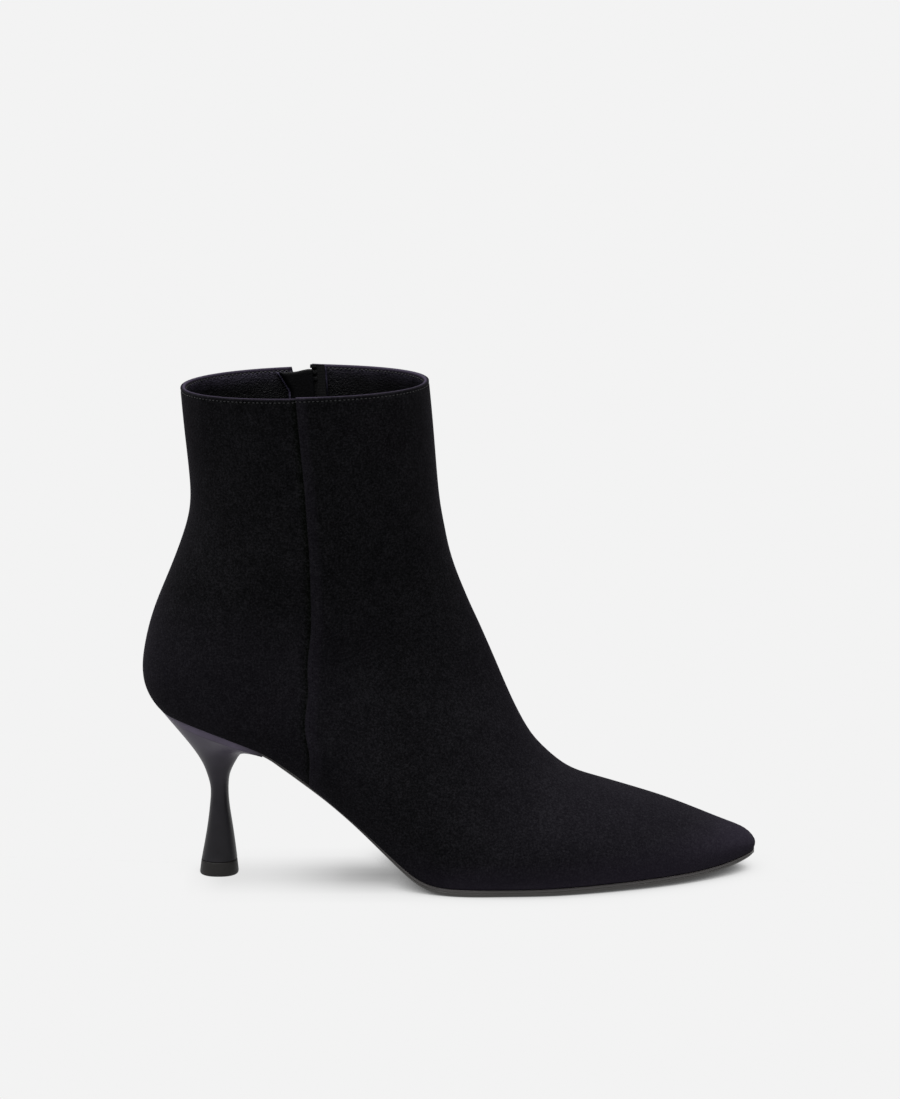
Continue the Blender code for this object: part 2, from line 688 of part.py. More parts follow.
def zip_frame(drop):
    """Place on the zip's middle at this distance below the collar: across, up and out as the matrix's axes."""
    length = zip_length()
    arc = lengths_along(half_section(0.0, 1))[-1]
    rows = (drop + SLIDER_SPAN_DOWN * np.array([-1.0, 0.0, 1.0])) / length
    offsets = SLIDER_SPAN_ACROSS * np.array([1.0, 0.0, -1.0])
    grid = np.array([rib(SEAM_SHARE + offset / arc, 1, rows) for offset in offsets])
    out = Vector(normals_of(grid, closed=False)[1, 1])
    across = Vector(grid[2, 1] - grid[0, 1])
    across.z = 0.0
    across.normalize()
    out = (out - across * out.dot(across)).normalized()
    up = out.cross(across)
    frame = Matrix((across, up, out)).transposed().to_4x4()
    frame.translation = Vector(grid[1, 1])
    return frame


def add_box(name, size, centre, frame, bevel=0.0):
    """A box primitive of this size in millimetres at a place in a frame, as a mesh object in metres."""
    bpy.ops.mesh.primitive_cube_add(size=1.0)
    obj = bpy.context.object
    obj.name = name
    obj.data.transform(Matrix.Diagonal((*(Vector(size) * MM), 1.0)))
    place_local(obj, centre, frame)
    if bevel:
        modifier = obj.modifiers.new("rounded edges", "BEVEL")
        modifier.width = bevel * MM
        modifier.segments = 2
    return obj


def add_rod(name, radius, length, centre, frame, vertices=20):
    """A cylinder primitive along the frame's first axis."""
    bpy.ops.mesh.primitive_cylinder_add(radius=radius * MM, depth=length * MM, vertices=vertices)
    obj = bpy.context.object
    obj.name = name
    obj.data.transform(Matrix.Rotation(math.pi / 2, 4, "Y"))
    place_local(obj, centre, frame)
    return obj


def place_local(obj, centre, frame):
    matrix = frame.copy()
    matrix.translation = (frame @ Vector(centre)) * MM
    obj.matrix_world = matrix


def move_to(obj, collection, root):
    """Puts a primitive into a collection and under the root, where it stands."""
    for holder in list(obj.users_collection):
        holder.objects.unlink(obj)
    bpy.data.collections[collection].objects.link(obj)
    place = obj.matrix_world.copy()
    obj.parent = root
    obj.matrix_basis = place


def combine(target, others, operation, root):
    """Joins pieces to the target, or cuts them out of it."""
    for other in others:
        modifier = target.modifiers.new(operation.lower() + "_" + other.name, "BOOLEAN")
        modifier.operation = operation
        modifier.object = other
        other.hide_render = True
        other.display_type = "WIRE"
        move_to(other, "boot_cutters", root)


def finish_piece(obj, material, root):
    obj.data.materials.append(material)
    move_to(obj, "ankle_boot", root)
    return obj


def make_slider(root, material):
    frame = zip_frame(SLIDER_DROP)
    wide, tall, thick = PLATE
    slider = add_box("zip_slider", PLATE, (0.0, 0.0, GAP + thick / 2), frame, bevel=PLATE_BEVEL)
    back_out = -WALL - GAP - BACK_PLATE_THICK / 2
    back = add_box("slider_back", (wide, tall, BACK_PLATE_THICK), (0.0, 0.0, back_out), frame)
    root_out = GAP + ROOT_IN_PLATE
    neck_deep = root_out - back_out
    neck_middle = (0.0, SLIDER_NECK_UP, root_out - neck_deep / 2)
    neck = add_box("slider_neck", (*SLIDER_NECK, neck_deep), neck_middle, frame)
    lug_tall = PULL_AXIS_OUT + LUG_OVER_AXIS - root_out
    lugs = [
        add_box("slider_lug", (*LUG, lug_tall), (off_middle, PULL_AXIS_UP, root_out + lug_tall / 2), frame)
        for off_middle in (-LUG_OFF_MIDDLE, LUG_OFF_MIDDLE)
    ]
    pin = add_rod("slider_pin", PIN_RADIUS, PIN_LENGTH, (0.0, PULL_AXIS_UP, PULL_AXIS_OUT), frame)
    combine(slider, [back, neck, *lugs, pin], "UNION", root)
    return finish_piece(slider, material, root)


def make_pull(root, material):
    frame = zip_frame(SLIDER_DROP)
    axis = frame @ Vector((0.0, PULL_AXIS_UP, PULL_AXIS_OUT))
    across = frame.to_3x3().col[0].copy()
    up = Vector((0.0, 0.0, 1.0))
    hanging = Matrix((across, up, across.cross(up))).transposed().to_4x4()
    hanging.translation = axis
    pull = add_rod("zip_pull", EYE_RADIUS, EYE_WIDTH, (0.0, 0.0, 0.0), hanging, vertices=24)
    neck_top = -(PIN_RADIUS + EYE_RADIUS) / 2
    neck_tall = PULL_NECK + PULL_NECK_IN_TAB + neck_top
    _, tab_tall, tab_thick = PULL_SIZE
    neck_size = (EYE_WIDTH - PULL_NECK_NARROWER, neck_tall, tab_thick - PULL_NECK_THINNER)
    neck = add_box("pull_neck", neck_size, (0.0, neck_top - neck_tall / 2, 0.0), hanging)
    tab_middle = -PULL_NECK - tab_tall / 2
    tab = add_box("pull_tab", PULL_SIZE, (0.0, tab_middle, 0.0), hanging, bevel=PULL_BEVEL)
    hole = add_rod("pull_hole", PIN_RADIUS + GAP, 2 * EYE_WIDTH, (0.0, 0.0, 0.0), hanging)
    combine(pull, [neck, tab], "UNION", root)
    combine(pull, [hole], "DIFFERENCE", root)
    return finish_piece(pull, material, root)


def centre_on_origin(root, pieces):
    """Moves the root so that the boot's box stands on the floor with its middle over the origin."""
    bpy.context.view_layer.update()
    graph = bpy.context.evaluated_depsgraph_get()
    corners = [
        obj.evaluated_get(graph).matrix_world @ Vector(corner)
        for obj in pieces
        for corner in obj.evaluated_get(graph).bound_box
    ]
    low = [min(c[k] for c in corners) for k in range(3)]
    high = [max(c[k] for c in corners) for k in range(3)]
    root.location = (-(low[0] + high[0]) / 2, -(low[1] + high[1]) / 2, -low[2])
    bpy.context.view_layer.update()


def main():
    for obj in list(bpy.data.objects):
        bpy.data.objects.remove(obj)
    for name in ("ankle_boot", "boot_cutters"):
        bpy.context.scene.collection.children.link(bpy.data.collections.new(name))
    root = bpy.data.objects.new("boot_root", None)
    bpy.data.collections["ankle_boot"].objects.link(root)
    materials = {name: make_material(name) for name in MATERIALS}
    pieces = [
        make_upper(root, materials["suede"]),
        make_outsole(root, materials["sole_leather"]),
        make_insole(root, materials["lining"]),
        make_heel(root, materials["heel_lacquer"]),
        make_top_lift(root, materials["lift_rubber"]),
        make_zip_chain(root, materials["zip_tape"]),
        make_zip_guard(root, materials["lining"]),
        make_slider(root, materials["zip_metal"]),
        make_pull(root, materials["zip_metal"]),
    ]
    centre_on_origin(root, pieces)


main()
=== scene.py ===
"""Looks of a pointed suede ankle boot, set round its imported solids.

Sizes are in millimetres on the boot's own axes: x from the back of the heel, z from the floor, the toe
along +x, the outer side at -y. Meshes are made in metres, in the frame of the solids.
"""

import math

import bpy
import numpy as np
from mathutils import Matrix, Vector


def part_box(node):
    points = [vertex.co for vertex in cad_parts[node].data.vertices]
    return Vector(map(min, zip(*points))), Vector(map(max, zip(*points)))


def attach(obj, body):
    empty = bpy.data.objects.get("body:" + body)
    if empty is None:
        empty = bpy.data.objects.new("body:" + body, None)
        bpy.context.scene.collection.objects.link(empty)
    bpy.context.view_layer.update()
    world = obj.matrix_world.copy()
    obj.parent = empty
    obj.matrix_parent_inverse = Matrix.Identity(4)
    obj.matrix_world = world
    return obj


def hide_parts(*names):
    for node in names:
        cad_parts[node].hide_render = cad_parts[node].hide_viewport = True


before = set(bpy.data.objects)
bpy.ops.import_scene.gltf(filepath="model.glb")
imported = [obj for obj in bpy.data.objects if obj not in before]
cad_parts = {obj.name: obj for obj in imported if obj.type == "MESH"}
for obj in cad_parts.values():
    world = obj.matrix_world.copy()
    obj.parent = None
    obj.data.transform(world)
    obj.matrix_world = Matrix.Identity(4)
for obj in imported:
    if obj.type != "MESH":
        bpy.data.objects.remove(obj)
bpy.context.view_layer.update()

MM = 0.001

# Distance given to points that are nowhere near an edge, slack in comparing distances, and least lengths
FAR = 1000.0
SLACK = 0.01
TINY = 1e-9
TINY_SHARE = 1e-6

# Camera and light
CAMERA_ELEVATION = 14.5
CAMERA_DISTANCE = 1.6
CAMERA_TARGET = (0.0, 0.0, 0.1)
CAMERA_LENS = 128.3
CAMERA_SHIFT = (-0.0012, 0.0799)
WORLD_LIGHT = 0.16
KEY_LIGHT = 7.2
KEY_ANGLE = 60.0
KEY_TILT = (11.0, -6.0)
FLOOR_LIGHT = 0.896
SHADE_REACH = 0.028
SHADE_FROM = (0.0, -0.35, 1.0)
SHADE_STOPS = ((0.0, 0.02), (0.2, 0.12), (0.35, 0.38), (0.5, 0.74), (0.65, 0.93), (0.8, 0.985), (0.9, 1.0))
# Soft shade that the arch throws straight down: its depth along the boot, and how it fades to the sides
ARCH_SHADE_ALONG = (
    (15.0, 0.0), (24.0, 0.06), (32.0, 0.16), (46.0, 0.17), (54.0, 0.20), (61.0, 0.24), (69.0, 0.31),
    (76.0, 0.38), (83.0, 0.47), (91.0, 0.54), (98.0, 0.60), (112.0, 0.62), (128.0, 0.2), (140.0, 0.0),
)
ARCH_SHADE_ASIDE = ((0.0, 1.05), (7.0, 0.95), (17.0, 0.5), (26.0, 0.14), (38.0, 0.0))
ARCH_SHADE_Y = -5.0
FLOOR_RADIUS = 30.0
FLOOR_SIDES = 64

# The wall and what lies in it
BALL_HALF = 39.5
WALL = 1.8
GAP = 0.3
SOLE_THICK = 3.0
INSOLE_INSET = WALL + 0.9
INSOLE_BACK_INSET = 3.2
INSOLE_END_X = 240.0

# Sections of the last, from the collar down the shaft and then along the foot to the toe
LAST_COLUMNS = "back_x back_z front_x front_z outer inner centre widest crown keel".split()
LAST_ROWS = (
    (17.0, 204.6, 116.4, 207.0, 0.875, 0.875, 0.0, 0.50, 2.15, 2.15),
    (18.4, 187.0, 118.0, 189.8, 0.845, 0.845, 0.0, 0.50, 2.15, 2.15),
    (20.1, 168.0, 119.4, 172.0, 0.820, 0.820, 0.0, 0.50, 2.15, 2.15),
    (19.7, 153.4, 120.8, 157.5, 0.805, 0.805, 0.0, 0.49, 2.10, 2.20),
    (15.4, 139.0, 122.6, 147.0, 0.795, 0.795, 0.0, 0.48, 2.05, 2.25),
    (10.0, 125.5, 124.4, 138.2, 0.785, 0.785, 0.0, 0.46, 2.00, 2.30),
    (4.9, 113.0, 127.0, 129.5, 0.775, 0.775, 0.0, 0.44, 1.95, 2.35),
    (1.2, 100.0, 130.2, 121.2, 0.770, 0.770, 0.0, 0.42, 1.90, 2.40),
    (-0.3, 87.0, 133.5, 113.4, 0.765, 0.765, 0.0, 0.40, 1.85, 2.45),
    (2.8, 76.2, 136.7, 106.4, 0.760, 0.755, 0.0, 0.38, 1.80, 2.40),
    (10.4, 67.0, 140.0, 98.8, 0.760, 0.750, -0.1, 0.37, 1.78, 2.30),
    (20.5, 60.0, 143.4, 90.8, 0.765, 0.750, -0.3, 0.365, 1.76, 2.15),
    (37.0, 53.0, 146.8, 82.6, 0.785, 0.755, -0.5, 0.36, 1.75, 2.05),
    (57.0, 43.5, 150.4, 74.4, 0.815, 0.780, -0.8, 0.35, 1.75, 2.05),
    (78.0, 27.5, 154.2, 66.6, 0.860, 0.835, -1.0, 0.34, 1.75, 2.10),
    (99.0, 4.2, 158.6, 59.2, 0.915, 0.905, -0.8, 0.34, 1.75, 2.40),
    (120.0, -5.0, 164.6, 52.2, 0.965, 0.970, -0.3, 0.34, 1.80, 2.50),
    (140.0, -4.4, 174.6, 43.9, 0.995, 1.000, 0.3, 0.35, 1.85, 2.40),
    (160.0, -4.2, 187.0, 38.9, 0.970, 0.975, 1.0, 0.36, 1.90, 2.40),
    (180.0, -3.4, 200.5, 34.5, 0.885, 0.885, 1.8, 0.37, 1.95, 2.40),
    (200.0, -2.2, 214.3, 29.9, 0.755, 0.745, 2.6, 0.38, 2.00, 2.40),
    (218.0, -0.6, 227.6, 24.8, 0.595, 0.585, 3.2, 0.40, 2.00, 2.40),
    (232.0, 1.6, 238.8, 20.4, 0.425, 0.420, 3.6, 0.42, 2.00, 2.35),
    (241.5, 4.4, 246.8, 17.2, 0.280, 0.275, 3.8, 0.44, 2.00, 2.30),
    (247.0, 6.8, 250.8, 13.6, 0.165, 0.165, 3.9, 0.46, 2.00, 2.20),
    (249.8, 8.3, 251.5, 11.4, 0.075, 0.075, 4.0, 0.48, 2.00, 2.10),
    (250.8, 9.2, 251.2, 9.9, 0.004, 0.004, 4.0, 0.50, 2.00, 2.00),
)

# Slopes in degrees of the line along which the upper meets the sole
SLOPES = (
    (0.0, 13.0), (12.0, 13.0), (30.0, 19.0), (46.0, 21.5), (55.0, 37.5), (75.0, 39.5), (84.0, 38.6),
    (92.0, 40.8), (100.0, 42.2), (105.5, 41.6), (110.0, 37.2), (114.0, 26.0), (118.0, 13.5), (122.0, 5.5),
    (127.0, 1.0), (132.0, 0.0), (152.0, 0.0), (165.0, -1.2), (200.0, -1.4), (222.0, -2.0), (232.0, -6.0),
    (244.0, -12.0), (253.0, -14.0),
)
BALL_X = 138.0
FEATHER_Z_AT_BALL = SOLE_THICK + GAP
SOLE_LINE = (-2.0, 252.0, 1271)
HEEL_CORNER_BETWEEN = (7.0, 12.0)

# How far the ribs lean forward of an even spread, by section
SWAYS = (
    (0.0, 0.005), (2.0, 0.004), (3.0, 0.010), (4.0, 0.028), (5.0, 0.046), (6.0, 0.058), (7.2, 0.060),
    (8.2, 0.047), (9.2, 0.024), (10.2, -0.010), (11.2, -0.038), (12.0, -0.040), (13.0, 0.0), (18.0, 0.0),
    (26.0, 0.0),
)
SEAM_SHARE = 0.478
SEAM_FOOT_X = 68.0
TOE_CROWDING = 1.7

# Zip on the inner side
SLIT_HALF = 2.8
NOTCH_EXTRA = 1.4
NOTCH_DEPTH = 8.0
ZIP_END_SHARE = 0.78
CHAIN_TOP_DROP = 12.5
SLIDER_DROP = 11.0
SLIDER_SPAN = (3.0, 2.0)
PULL_AXIS_OUT = 3.9
PULL_AXIS_UP = 0.5
PIN_RADIUS = 0.8

# Outsole along the foot: how far it stands out past the upper, its thickness and the bevel under its edge
OUTSOLE_COLUMNS = ("along", "extra", "thick", "bevel")
OUTSOLE_BACK_X = 49.6
OUTSOLE_ROWS = (
    (48.8, -0.08, 1.00, 0.30),
    (53.0, -0.12, 1.22, 0.90),
    (56.0, -0.12, 1.40, 1.05),
    (70.0, -0.05, 1.90, 1.30),
    (100.0, 0.15, 2.62, 1.60),
    (110.0, 0.32, 2.85, 1.40),
    (118.0, 0.50, 3.00, 1.18),
    (125.0, 0.70, 3.00, 1.02),
    (130.0, 0.70, 3.00, 0.90),
    (225.0, 0.70, 3.00, 0.90),
    (251.3, 0.70, 2.20, 0.90),
)

# Heel sections, each in a plane from its back to its front point. seat is how far one keeps to the
# upper's lower edge
HEEL_COLUMNS = ("back_x", "back_z", "front_x", "front_z", "half", "breast", "seat")
HEEL_BACK_POWER = 2.3
HEEL_TOP = {"back_x": 6.5, "front_x": 49.3, "half": 24.2, "breast": 7.0}
HEEL_ROWS = (
    (8.7, 68.4, 48.9, 55.95, 23.4, 7.0, 1.0),
    (14.8, 60.6, 43.4, 55.2, 17.6, 5.0, 0.5),
    (19.4, 54.2, 40.0, 53.3, 12.8, 4.5, 0.15),
    (23.1, 47.8, 37.4, 49.2, 9.0, 3.8, 0.0),
    (25.1, 42.4, 34.7, 43.2, 6.5, 2.9, 0.0),
    (26.3, 37.2, 33.8, 37.6, 5.2, 2.4, 0.0),
    (26.2, 31.0, 33.9, 31.0, 5.1, 2.4, 0.0),
    (24.9, 20.5, 35.2, 20.5, 6.2, 2.4, 0.0),
    (22.3, 6.3, 36.9, 6.3, 7.8, 2.4, 0.0),
)
LIFT_ROWS = (
    (22.2, 6.0, 36.9, 6.0, 7.8, 2.4, 0.0),
    (21.4, 0.0, 37.5, 0.0, 8.1, 2.4, 0.0),
)


def natural_spline(knots, values):
    """A twice smooth curve through the values at the knots."""
    knots = np.asarray(knots, float)
    values = np.asarray(values, float)
    steps = np.diff(knots)
    count = len(knots)
    system = np.eye(count)
    right = np.zeros(count)
    rises = np.diff(values) / steps
    for i in range(1, count - 1):
        system[i, i - 1 : i + 2] = steps[i - 1], 2 * (steps[i - 1] + steps[i]), steps[i]
        right[i] = 6 * (rises[i] - rises[i - 1])
    bends = np.linalg.solve(system, right)

    def at(x):
        i = np.clip(np.searchsorted(knots, x, side="right") - 1, 0, count - 2)
        h = steps[i]
        left = (knots[i + 1] - x) / h
        right_share = (x - knots[i]) / h
        curve = (left**3 - left) * bends[i] + (right_share**3 - right_share) * bends[i + 1]
        return left * values[i] + right_share * values[i + 1] + curve * h * h / 6

    return at


def columns_of(names, rows):
    """The columns of a table, by name."""
    return dict(zip(names, np.array(rows, float).T))


def lengths_along(points):
    return np.concatenate([[0.0], np.cumsum(np.linalg.norm(np.diff(points, axis=0), axis=1))])


def profile(pairs, at):
    """Height of a profile at these distances."""
    along, height = zip(*pairs)
    return np.interp(at, along, height)


def along_path(at, run, values):
    """Points or directions kept at lengths along a path, read at other lengths."""
    return np.stack([np.interp(at, run, values[:, k]) for k in range(3)], axis=-1)


def unit(vectors):
    """The directions of vectors."""
    return vectors / np.maximum(np.linalg.norm(vectors, axis=-1, keepdims=True), TINY)


def within(shares):
    """Shares kept between nothing and all."""
    return np.clip(shares, 0.0, 1.0)


LAST = columns_of(LAST_COLUMNS, LAST_ROWS)
LAST_END = len(LAST_ROWS) - 1
LAST_CURVES = {name: natural_spline(range(len(LAST_ROWS)), values) for name, values in LAST.items()}
SWAY = natural_spline(*zip(*SWAYS))
OUTSOLE = columns_of(OUTSOLE_COLUMNS, OUTSOLE_ROWS)


def make_sole_line():
    """Height of the feather line over the floor at each x, summed up from the slopes."""
    x = np.linspace(*SOLE_LINE)
    fall = np.tan(np.radians(profile(SLOPES, x)))
    drop = np.concatenate([[0.0], np.cumsum((fall[1:] + fall[:-1]) / 2 * np.diff(x))])
    return x, FEATHER_Z_AT_BALL + np.interp(BALL_X, x, drop) - drop


SOLE_X, SOLE_Z = make_sole_line()


def sole_height(x):
    return np.interp(x, SOLE_X, SOLE_Z)


# Points along a section, along the part of it that the sole can cut, and where only its end is wanted
SECTION_SAMPLES = 240
CUT_SAMPLES = 400
END_SAMPLES = 12


def half_section(s, side, samples=SECTION_SAMPLES):
    """One side of section s, from the sole or back up to the ridge. side is -1 outside, 1 inside."""
    row = {name: float(curve(s)) for name, curve in LAST_CURVES.items()}

    def in_plane(share):
        x = row["back_x"] + share * (row["front_x"] - row["back_x"])
        return x, row["back_z"] + share * (row["front_z"] - row["back_z"])

    widest = row["widest"]
    share = np.linspace(0.0, widest, CUT_SAMPLES)
    x, z = in_plane(share)
    above = z - sole_height(x)
    cut = 0.0 if above[0] >= 0 else float(np.interp(0.0, above, share))
    lowest = (1 - cut / widest) ** (row["keel"] / 2)
    low = np.linspace(math.asin(min(1.0, lowest)), 0.0, samples)
    high = np.linspace(math.pi / 2, 0.0, samples)[1:]
    low_share = widest - widest * np.sin(low) ** (2 / row["keel"])
    high_share = widest + (1 - widest) * np.cos(high) ** (2 / row["crown"])
    width = np.concatenate([np.cos(low) ** (2 / row["keel"]), np.sin(high) ** (2 / row["crown"])])
    half = row["outer" if side < 0 else "inner"] * BALL_HALF
    x, z = in_plane(np.concatenate([low_share, high_share]))
    return np.stack([x, row["centre"] + side * half * width, z], axis=1)


SKIN_SECTIONS = 781
SKIN_SHARES = 721


def make_skin(side):
    """The last's surface on one side as a table of points, by section and by share of the way up it."""
    table = np.empty((SKIN_SECTIONS, SKIN_SHARES, 3))
    for i, s in enumerate(np.linspace(0.0, LAST_END, SKIN_SECTIONS)):
        points = half_section(s, side)
        run = lengths_along(points)
        table[i] = along_path(np.linspace(0.0, run[-1], SKIN_SHARES), run, points)
    return table


SKINS = {side: make_skin(side) for side in (-1, 1)}


def skin_points(s, share, side):
    """Points of the surface between the table's own."""
    table = SKINS[side]
    down = within(np.asarray(s) / LAST_END) * (SKIN_SECTIONS - 1)
    up = within(np.asarray(share)) * (SKIN_SHARES - 1)
    i = np.minimum(down.astype(int), SKIN_SECTIONS - 2)
    j = np.minimum(up.astype(int), SKIN_SHARES - 2)
    a = (down - i)[:, None]
    b = (up - j)[:, None]
    near = table[i, j] * (1 - b) + table[i, j + 1] * b
    far = table[i + 1, j] * (1 - b) + table[i + 1, j + 1] * b
    return near * (1 - a) + far * a


CORNER_SAMPLES = 2001
FEATHER_SAMPLES = 500


def make_feather(side):
    """Where the upper meets the sole on one side: sections, points and lengths from the heel to the toe."""
    s = np.linspace(*HEEL_CORNER_BETWEEN, CORNER_SAMPLES)
    above = LAST_CURVES["back_z"](s) - sole_height(LAST_CURVES["back_x"](s))
    corner = float(np.interp(0.0, -above, s))
    turn = np.linspace(0.0, 1.0, FEATHER_SAMPLES)
    s = corner + (LAST_END - corner) * turn**2 * (3 - 2 * turn)
    points = np.array([half_section(v, side, END_SAMPLES)[0] for v in s])
    return s, points, lengths_along(points)


FEATHERS = {side: make_feather(side) for side in (-1, 1)}
COLLAR_SHARES = np.linspace(0.0, 1.0, 1601)


def foot_sections(side):
    """The sections where the ribs from the collar's shares end on the sole."""
    s, points, run = FEATHERS[side]
    seam_run = np.interp(SEAM_FOOT_X, points[:, 0], run)
    behind = within(COLLAR_SHARES / SEAM_SHARE)
    ahead = within((COLLAR_SHARES - SEAM_SHARE) / (1 - SEAM_SHARE))
    crowded = 1 - (1 - ahead) ** TOE_CROWDING
    return np.interp(seam_run * behind + (run[-1] - seam_run) * crowded, run, s)


FOOT_SECTIONS = {side: foot_sections(side) for side in (-1, 1)}
COLLAR_ARC = {side: lengths_along(half_section(0.0, side))[-1] for side in (-1, 1)}
RIB_SAMPLES = 260


def rib_line(share, side):
    """The rib from this share of the collar: points from the collar to the sole and lengths along it.
    A share past the front or the back goes on round the other side."""
    if share > 1.0:
        share, side = 2.0 - share, -side
    if share < 0.0:
        share, side = -share, -side
    end = float(np.interp(share, COLLAR_SHARES, FOOT_SECTIONS[side]))
    path = end * np.sin(np.linspace(0.0, math.pi / 2, RIB_SAMPLES))
    passed = np.interp(path, FOOT_SECTIONS[side], COLLAR_SHARES)
    even = np.clip((share - passed) / np.maximum(TINY_SHARE, 1 - passed), 0.0, None)
    points = skin_points(path, even + SWAY(path) * 4 * even * (1 - even), side)
    return points, lengths_along(points)


def on_rib(line, shares):
    """Points at these shares of a rib's length."""
    points, run = line
    return along_path(shares * run[-1], run, points)


NORMAL_REACH = 1.2


def skin_column(share, side, shares):
    """Points and outward normals of a rib at these shares of its length."""
    reach = NORMAL_REACH / COLLAR_ARC[side]
    points = on_rib(rib_line(share, side), shares)
    before = on_rib(rib_line(share - reach, side), shares)
    after = on_rib(rib_line(share + reach, side), shares)
    around = (after - before) * -side
    return points, unit(np.cross(np.gradient(points, axis=0), around))


SHIFT = np.array(
    [
        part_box("outsole")[0].x / MM - OUTSOLE_BACK_X,
        (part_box("top_lift")[0].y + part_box("top_lift")[1].y) / 2 / MM,
        0.0,
    ]
)


def add_piece(name, points, faces, material, slot, body="boot", replaces=(), sharp=None):
    """A mesh piece from points in millimetres on the boot's axes."""
    mesh = bpy.data.meshes.new(name)
    moved = (np.asarray(points, float) + SHIFT) * MM
    mesh.from_pydata(moved.tolist(), [], faces)
    mesh.validate()
    mesh.shade_smooth()
    if sharp:
        mesh.set_sharp_from_angle(angle=math.radians(sharp))
    obj = bpy.data.objects.new(name, mesh)
    obj.data.materials.append(material)
    bpy.context.scene.collection.objects.link(obj)
    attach(obj, body)
    if replaces:
        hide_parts(*replaces)
    return obj


def shell_faces(columns, rows, closed, missing=()):
    """Faces of a wall over a grid, with rims along its open edges. missing holds the cells left out."""
    count = columns * rows

    def index(i, k):
        return (i % columns) * rows + k

    outer = []
    for i in range(columns if closed else columns - 1):
        for k in range(rows - 1):
            if (i, k) not in missing:
                outer.append((index(i, k), index(i, k + 1), index(i + 1, k + 1), index(i + 1, k)))
    used = set()
    for face in outer:
        used.update(zip(face, face[1:] + face[:1]))
    rims = [(b, a, a + count, b + count) for a, b in used if (b, a) not in used]
    inner = [tuple(v + count for v in reversed(face)) for face in outer]
    return outer + inner + sorted(rims)


def tube_faces(rings, size, capped=True):
    """Faces of a tube over rings of the same size, with one face across each end if it is capped."""
    faces = []
    for r in range(rings - 1):
        for i in range(size):
            a, b = r * size + i, r * size + (i + 1) % size
            faces.append((a, b, b + size, a + size))
    if capped:
        faces.append(tuple(range(size))[::-1])
        faces.append(tuple((rings - 1) * size + i for i in range(size)))
    return faces


# Columns of the wall in millimetres from the seam or from the zip's middle, and the spread of the rest
SEAM_OFFSETS = (
    -8.0, -5.0, -3.0, -1.8, -1.1, -0.6, -0.3, -0.1, 0.0, 0.1, 0.22, 0.4, 0.65, 0.95, 1.25, 1.7, 2.4,
    3.4, 5.0, 7.0, 8.5, 9.5, 10.4, 11.2, 11.9, 12.6, 13.3, 14.0,
)
SLIT_EDGE_OFFSETS = (2.8, 2.95, 3.2, 3.6, 4.2, 5.0, 6.4, 8.5, 9.8, 10.8, 11.7, 12.6, 13.4, 14.2, 15.0)
SLIT_INNER_OFFSETS = (-1.4, 0.0, 1.4)
RIBS_BEHIND = 34
RIBS_AHEAD = 84
AHEAD_POWER = 1.3

# Rows in millimetres below the collar and above the sole, and the spread of the rest
COLLAR_STEPS = (0.0, 0.1, 0.25, 0.5, 0.9, 1.4, 1.8, 2.2, 2.8, 4.0, 6.0)
FEATHER_STEPS = (6.0, 4.0, 2.6, 1.6, 0.9, 0.45, 0.15, 0.0)
ROWS_TO_ZIP_END = 62
ROWS_BELOW_ZIP = 26

# Length of the zip's rib, the zip's end on it, and the distances to the sides up to which that end's row is
# level and from which it goes by share of each rib
ZIP_LENGTH = rib_line(SEAM_SHARE, 1)[1][-1]
ZIP_END = ZIP_END_SHARE * ZIP_LENGTH
ZIP_END_STRAIGHT = (9.0, 25.0)


def zip_end_on(offset, total):
    """Place of the zip end's row on a rib: straight across near the zip, by share of the rib beyond."""
    near, far = ZIP_END_STRAIGHT
    close = within((far - abs(offset)) / (far - near))
    return close * ZIP_END + (1 - close) * ZIP_END_SHARE * total


def row_lengths(total, zip_end):
    """Places of the rows down a rib of this length."""
    return np.concatenate(
        [
            COLLAR_STEPS,
            np.linspace(COLLAR_STEPS[-1], zip_end, ROWS_TO_ZIP_END + 1)[1:],
            np.linspace(zip_end, total - FEATHER_STEPS[0], ROWS_BELOW_ZIP + 1)[1:],
            total - np.array(FEATHER_STEPS[1:]),
        ]
    )


ZIP_END_ROW = len(COLLAR_STEPS) + ROWS_TO_ZIP_END - 1


def side_offsets(side):
    """Distances of the close columns from the seam or the zip's middle."""
    if side < 0:
        return np.array(SEAM_OFFSETS)
    edge = np.array(SLIT_EDGE_OFFSETS)
    return np.concatenate([-edge[::-1], SLIT_INNER_OFFSETS, edge])


def side_shares(side):
    """Collar shares of the columns on one side from back to front, and their distances from the seam."""
    arc = COLLAR_ARC[side]
    close = SEAM_SHARE + side_offsets(side) / arc
    behind = np.linspace(0.0, close[0], RIBS_BEHIND + 1)[:-1]
    ahead = close[-1] + (1.0 - close[-1]) * np.linspace(0.0, 1.0, RIBS_AHEAD + 1)[1:] ** AHEAD_POWER
    shares = np.concatenate([behind, close, ahead])
    return shares, (shares - SEAM_SHARE) * arc


def notch_widening(drop):
    """How far the slit's edge steps back below the collar: it opens in a V at the top."""
    return NOTCH_EXTRA * within(1 - drop / NOTCH_DEPTH)


NOTCH_REACH = 8.0

# How much higher the wall's top stands behind and ahead of the seam or zip, and over what length that fades
PANEL_RISE = {-1: ((-0.15, 60.0), (0.35, 60.0)), 1: ((0.3, 40.0), (1.5, 25.0))}
PANEL_RISE_DEPTH = 34.0
PANEL_BLEND = {-1: 0.05, 1: 2.8}


def panel_rise(offset, drop, side):
    """How much higher the wall stands than the last, by distance ahead of the seam and below the collar."""
    behind, ahead = PANEL_RISE[side]
    offset = np.asarray(offset, float)
    share = within((offset / PANEL_BLEND[side] + 1) / 2)
    height = behind[0] + (ahead[0] - behind[0]) * share
    length = behind[1] + (ahead[1] - behind[1]) * share
    return height * np.exp(-np.abs(offset) / length) * within(1 - drop / PANEL_RISE_DEPTH)


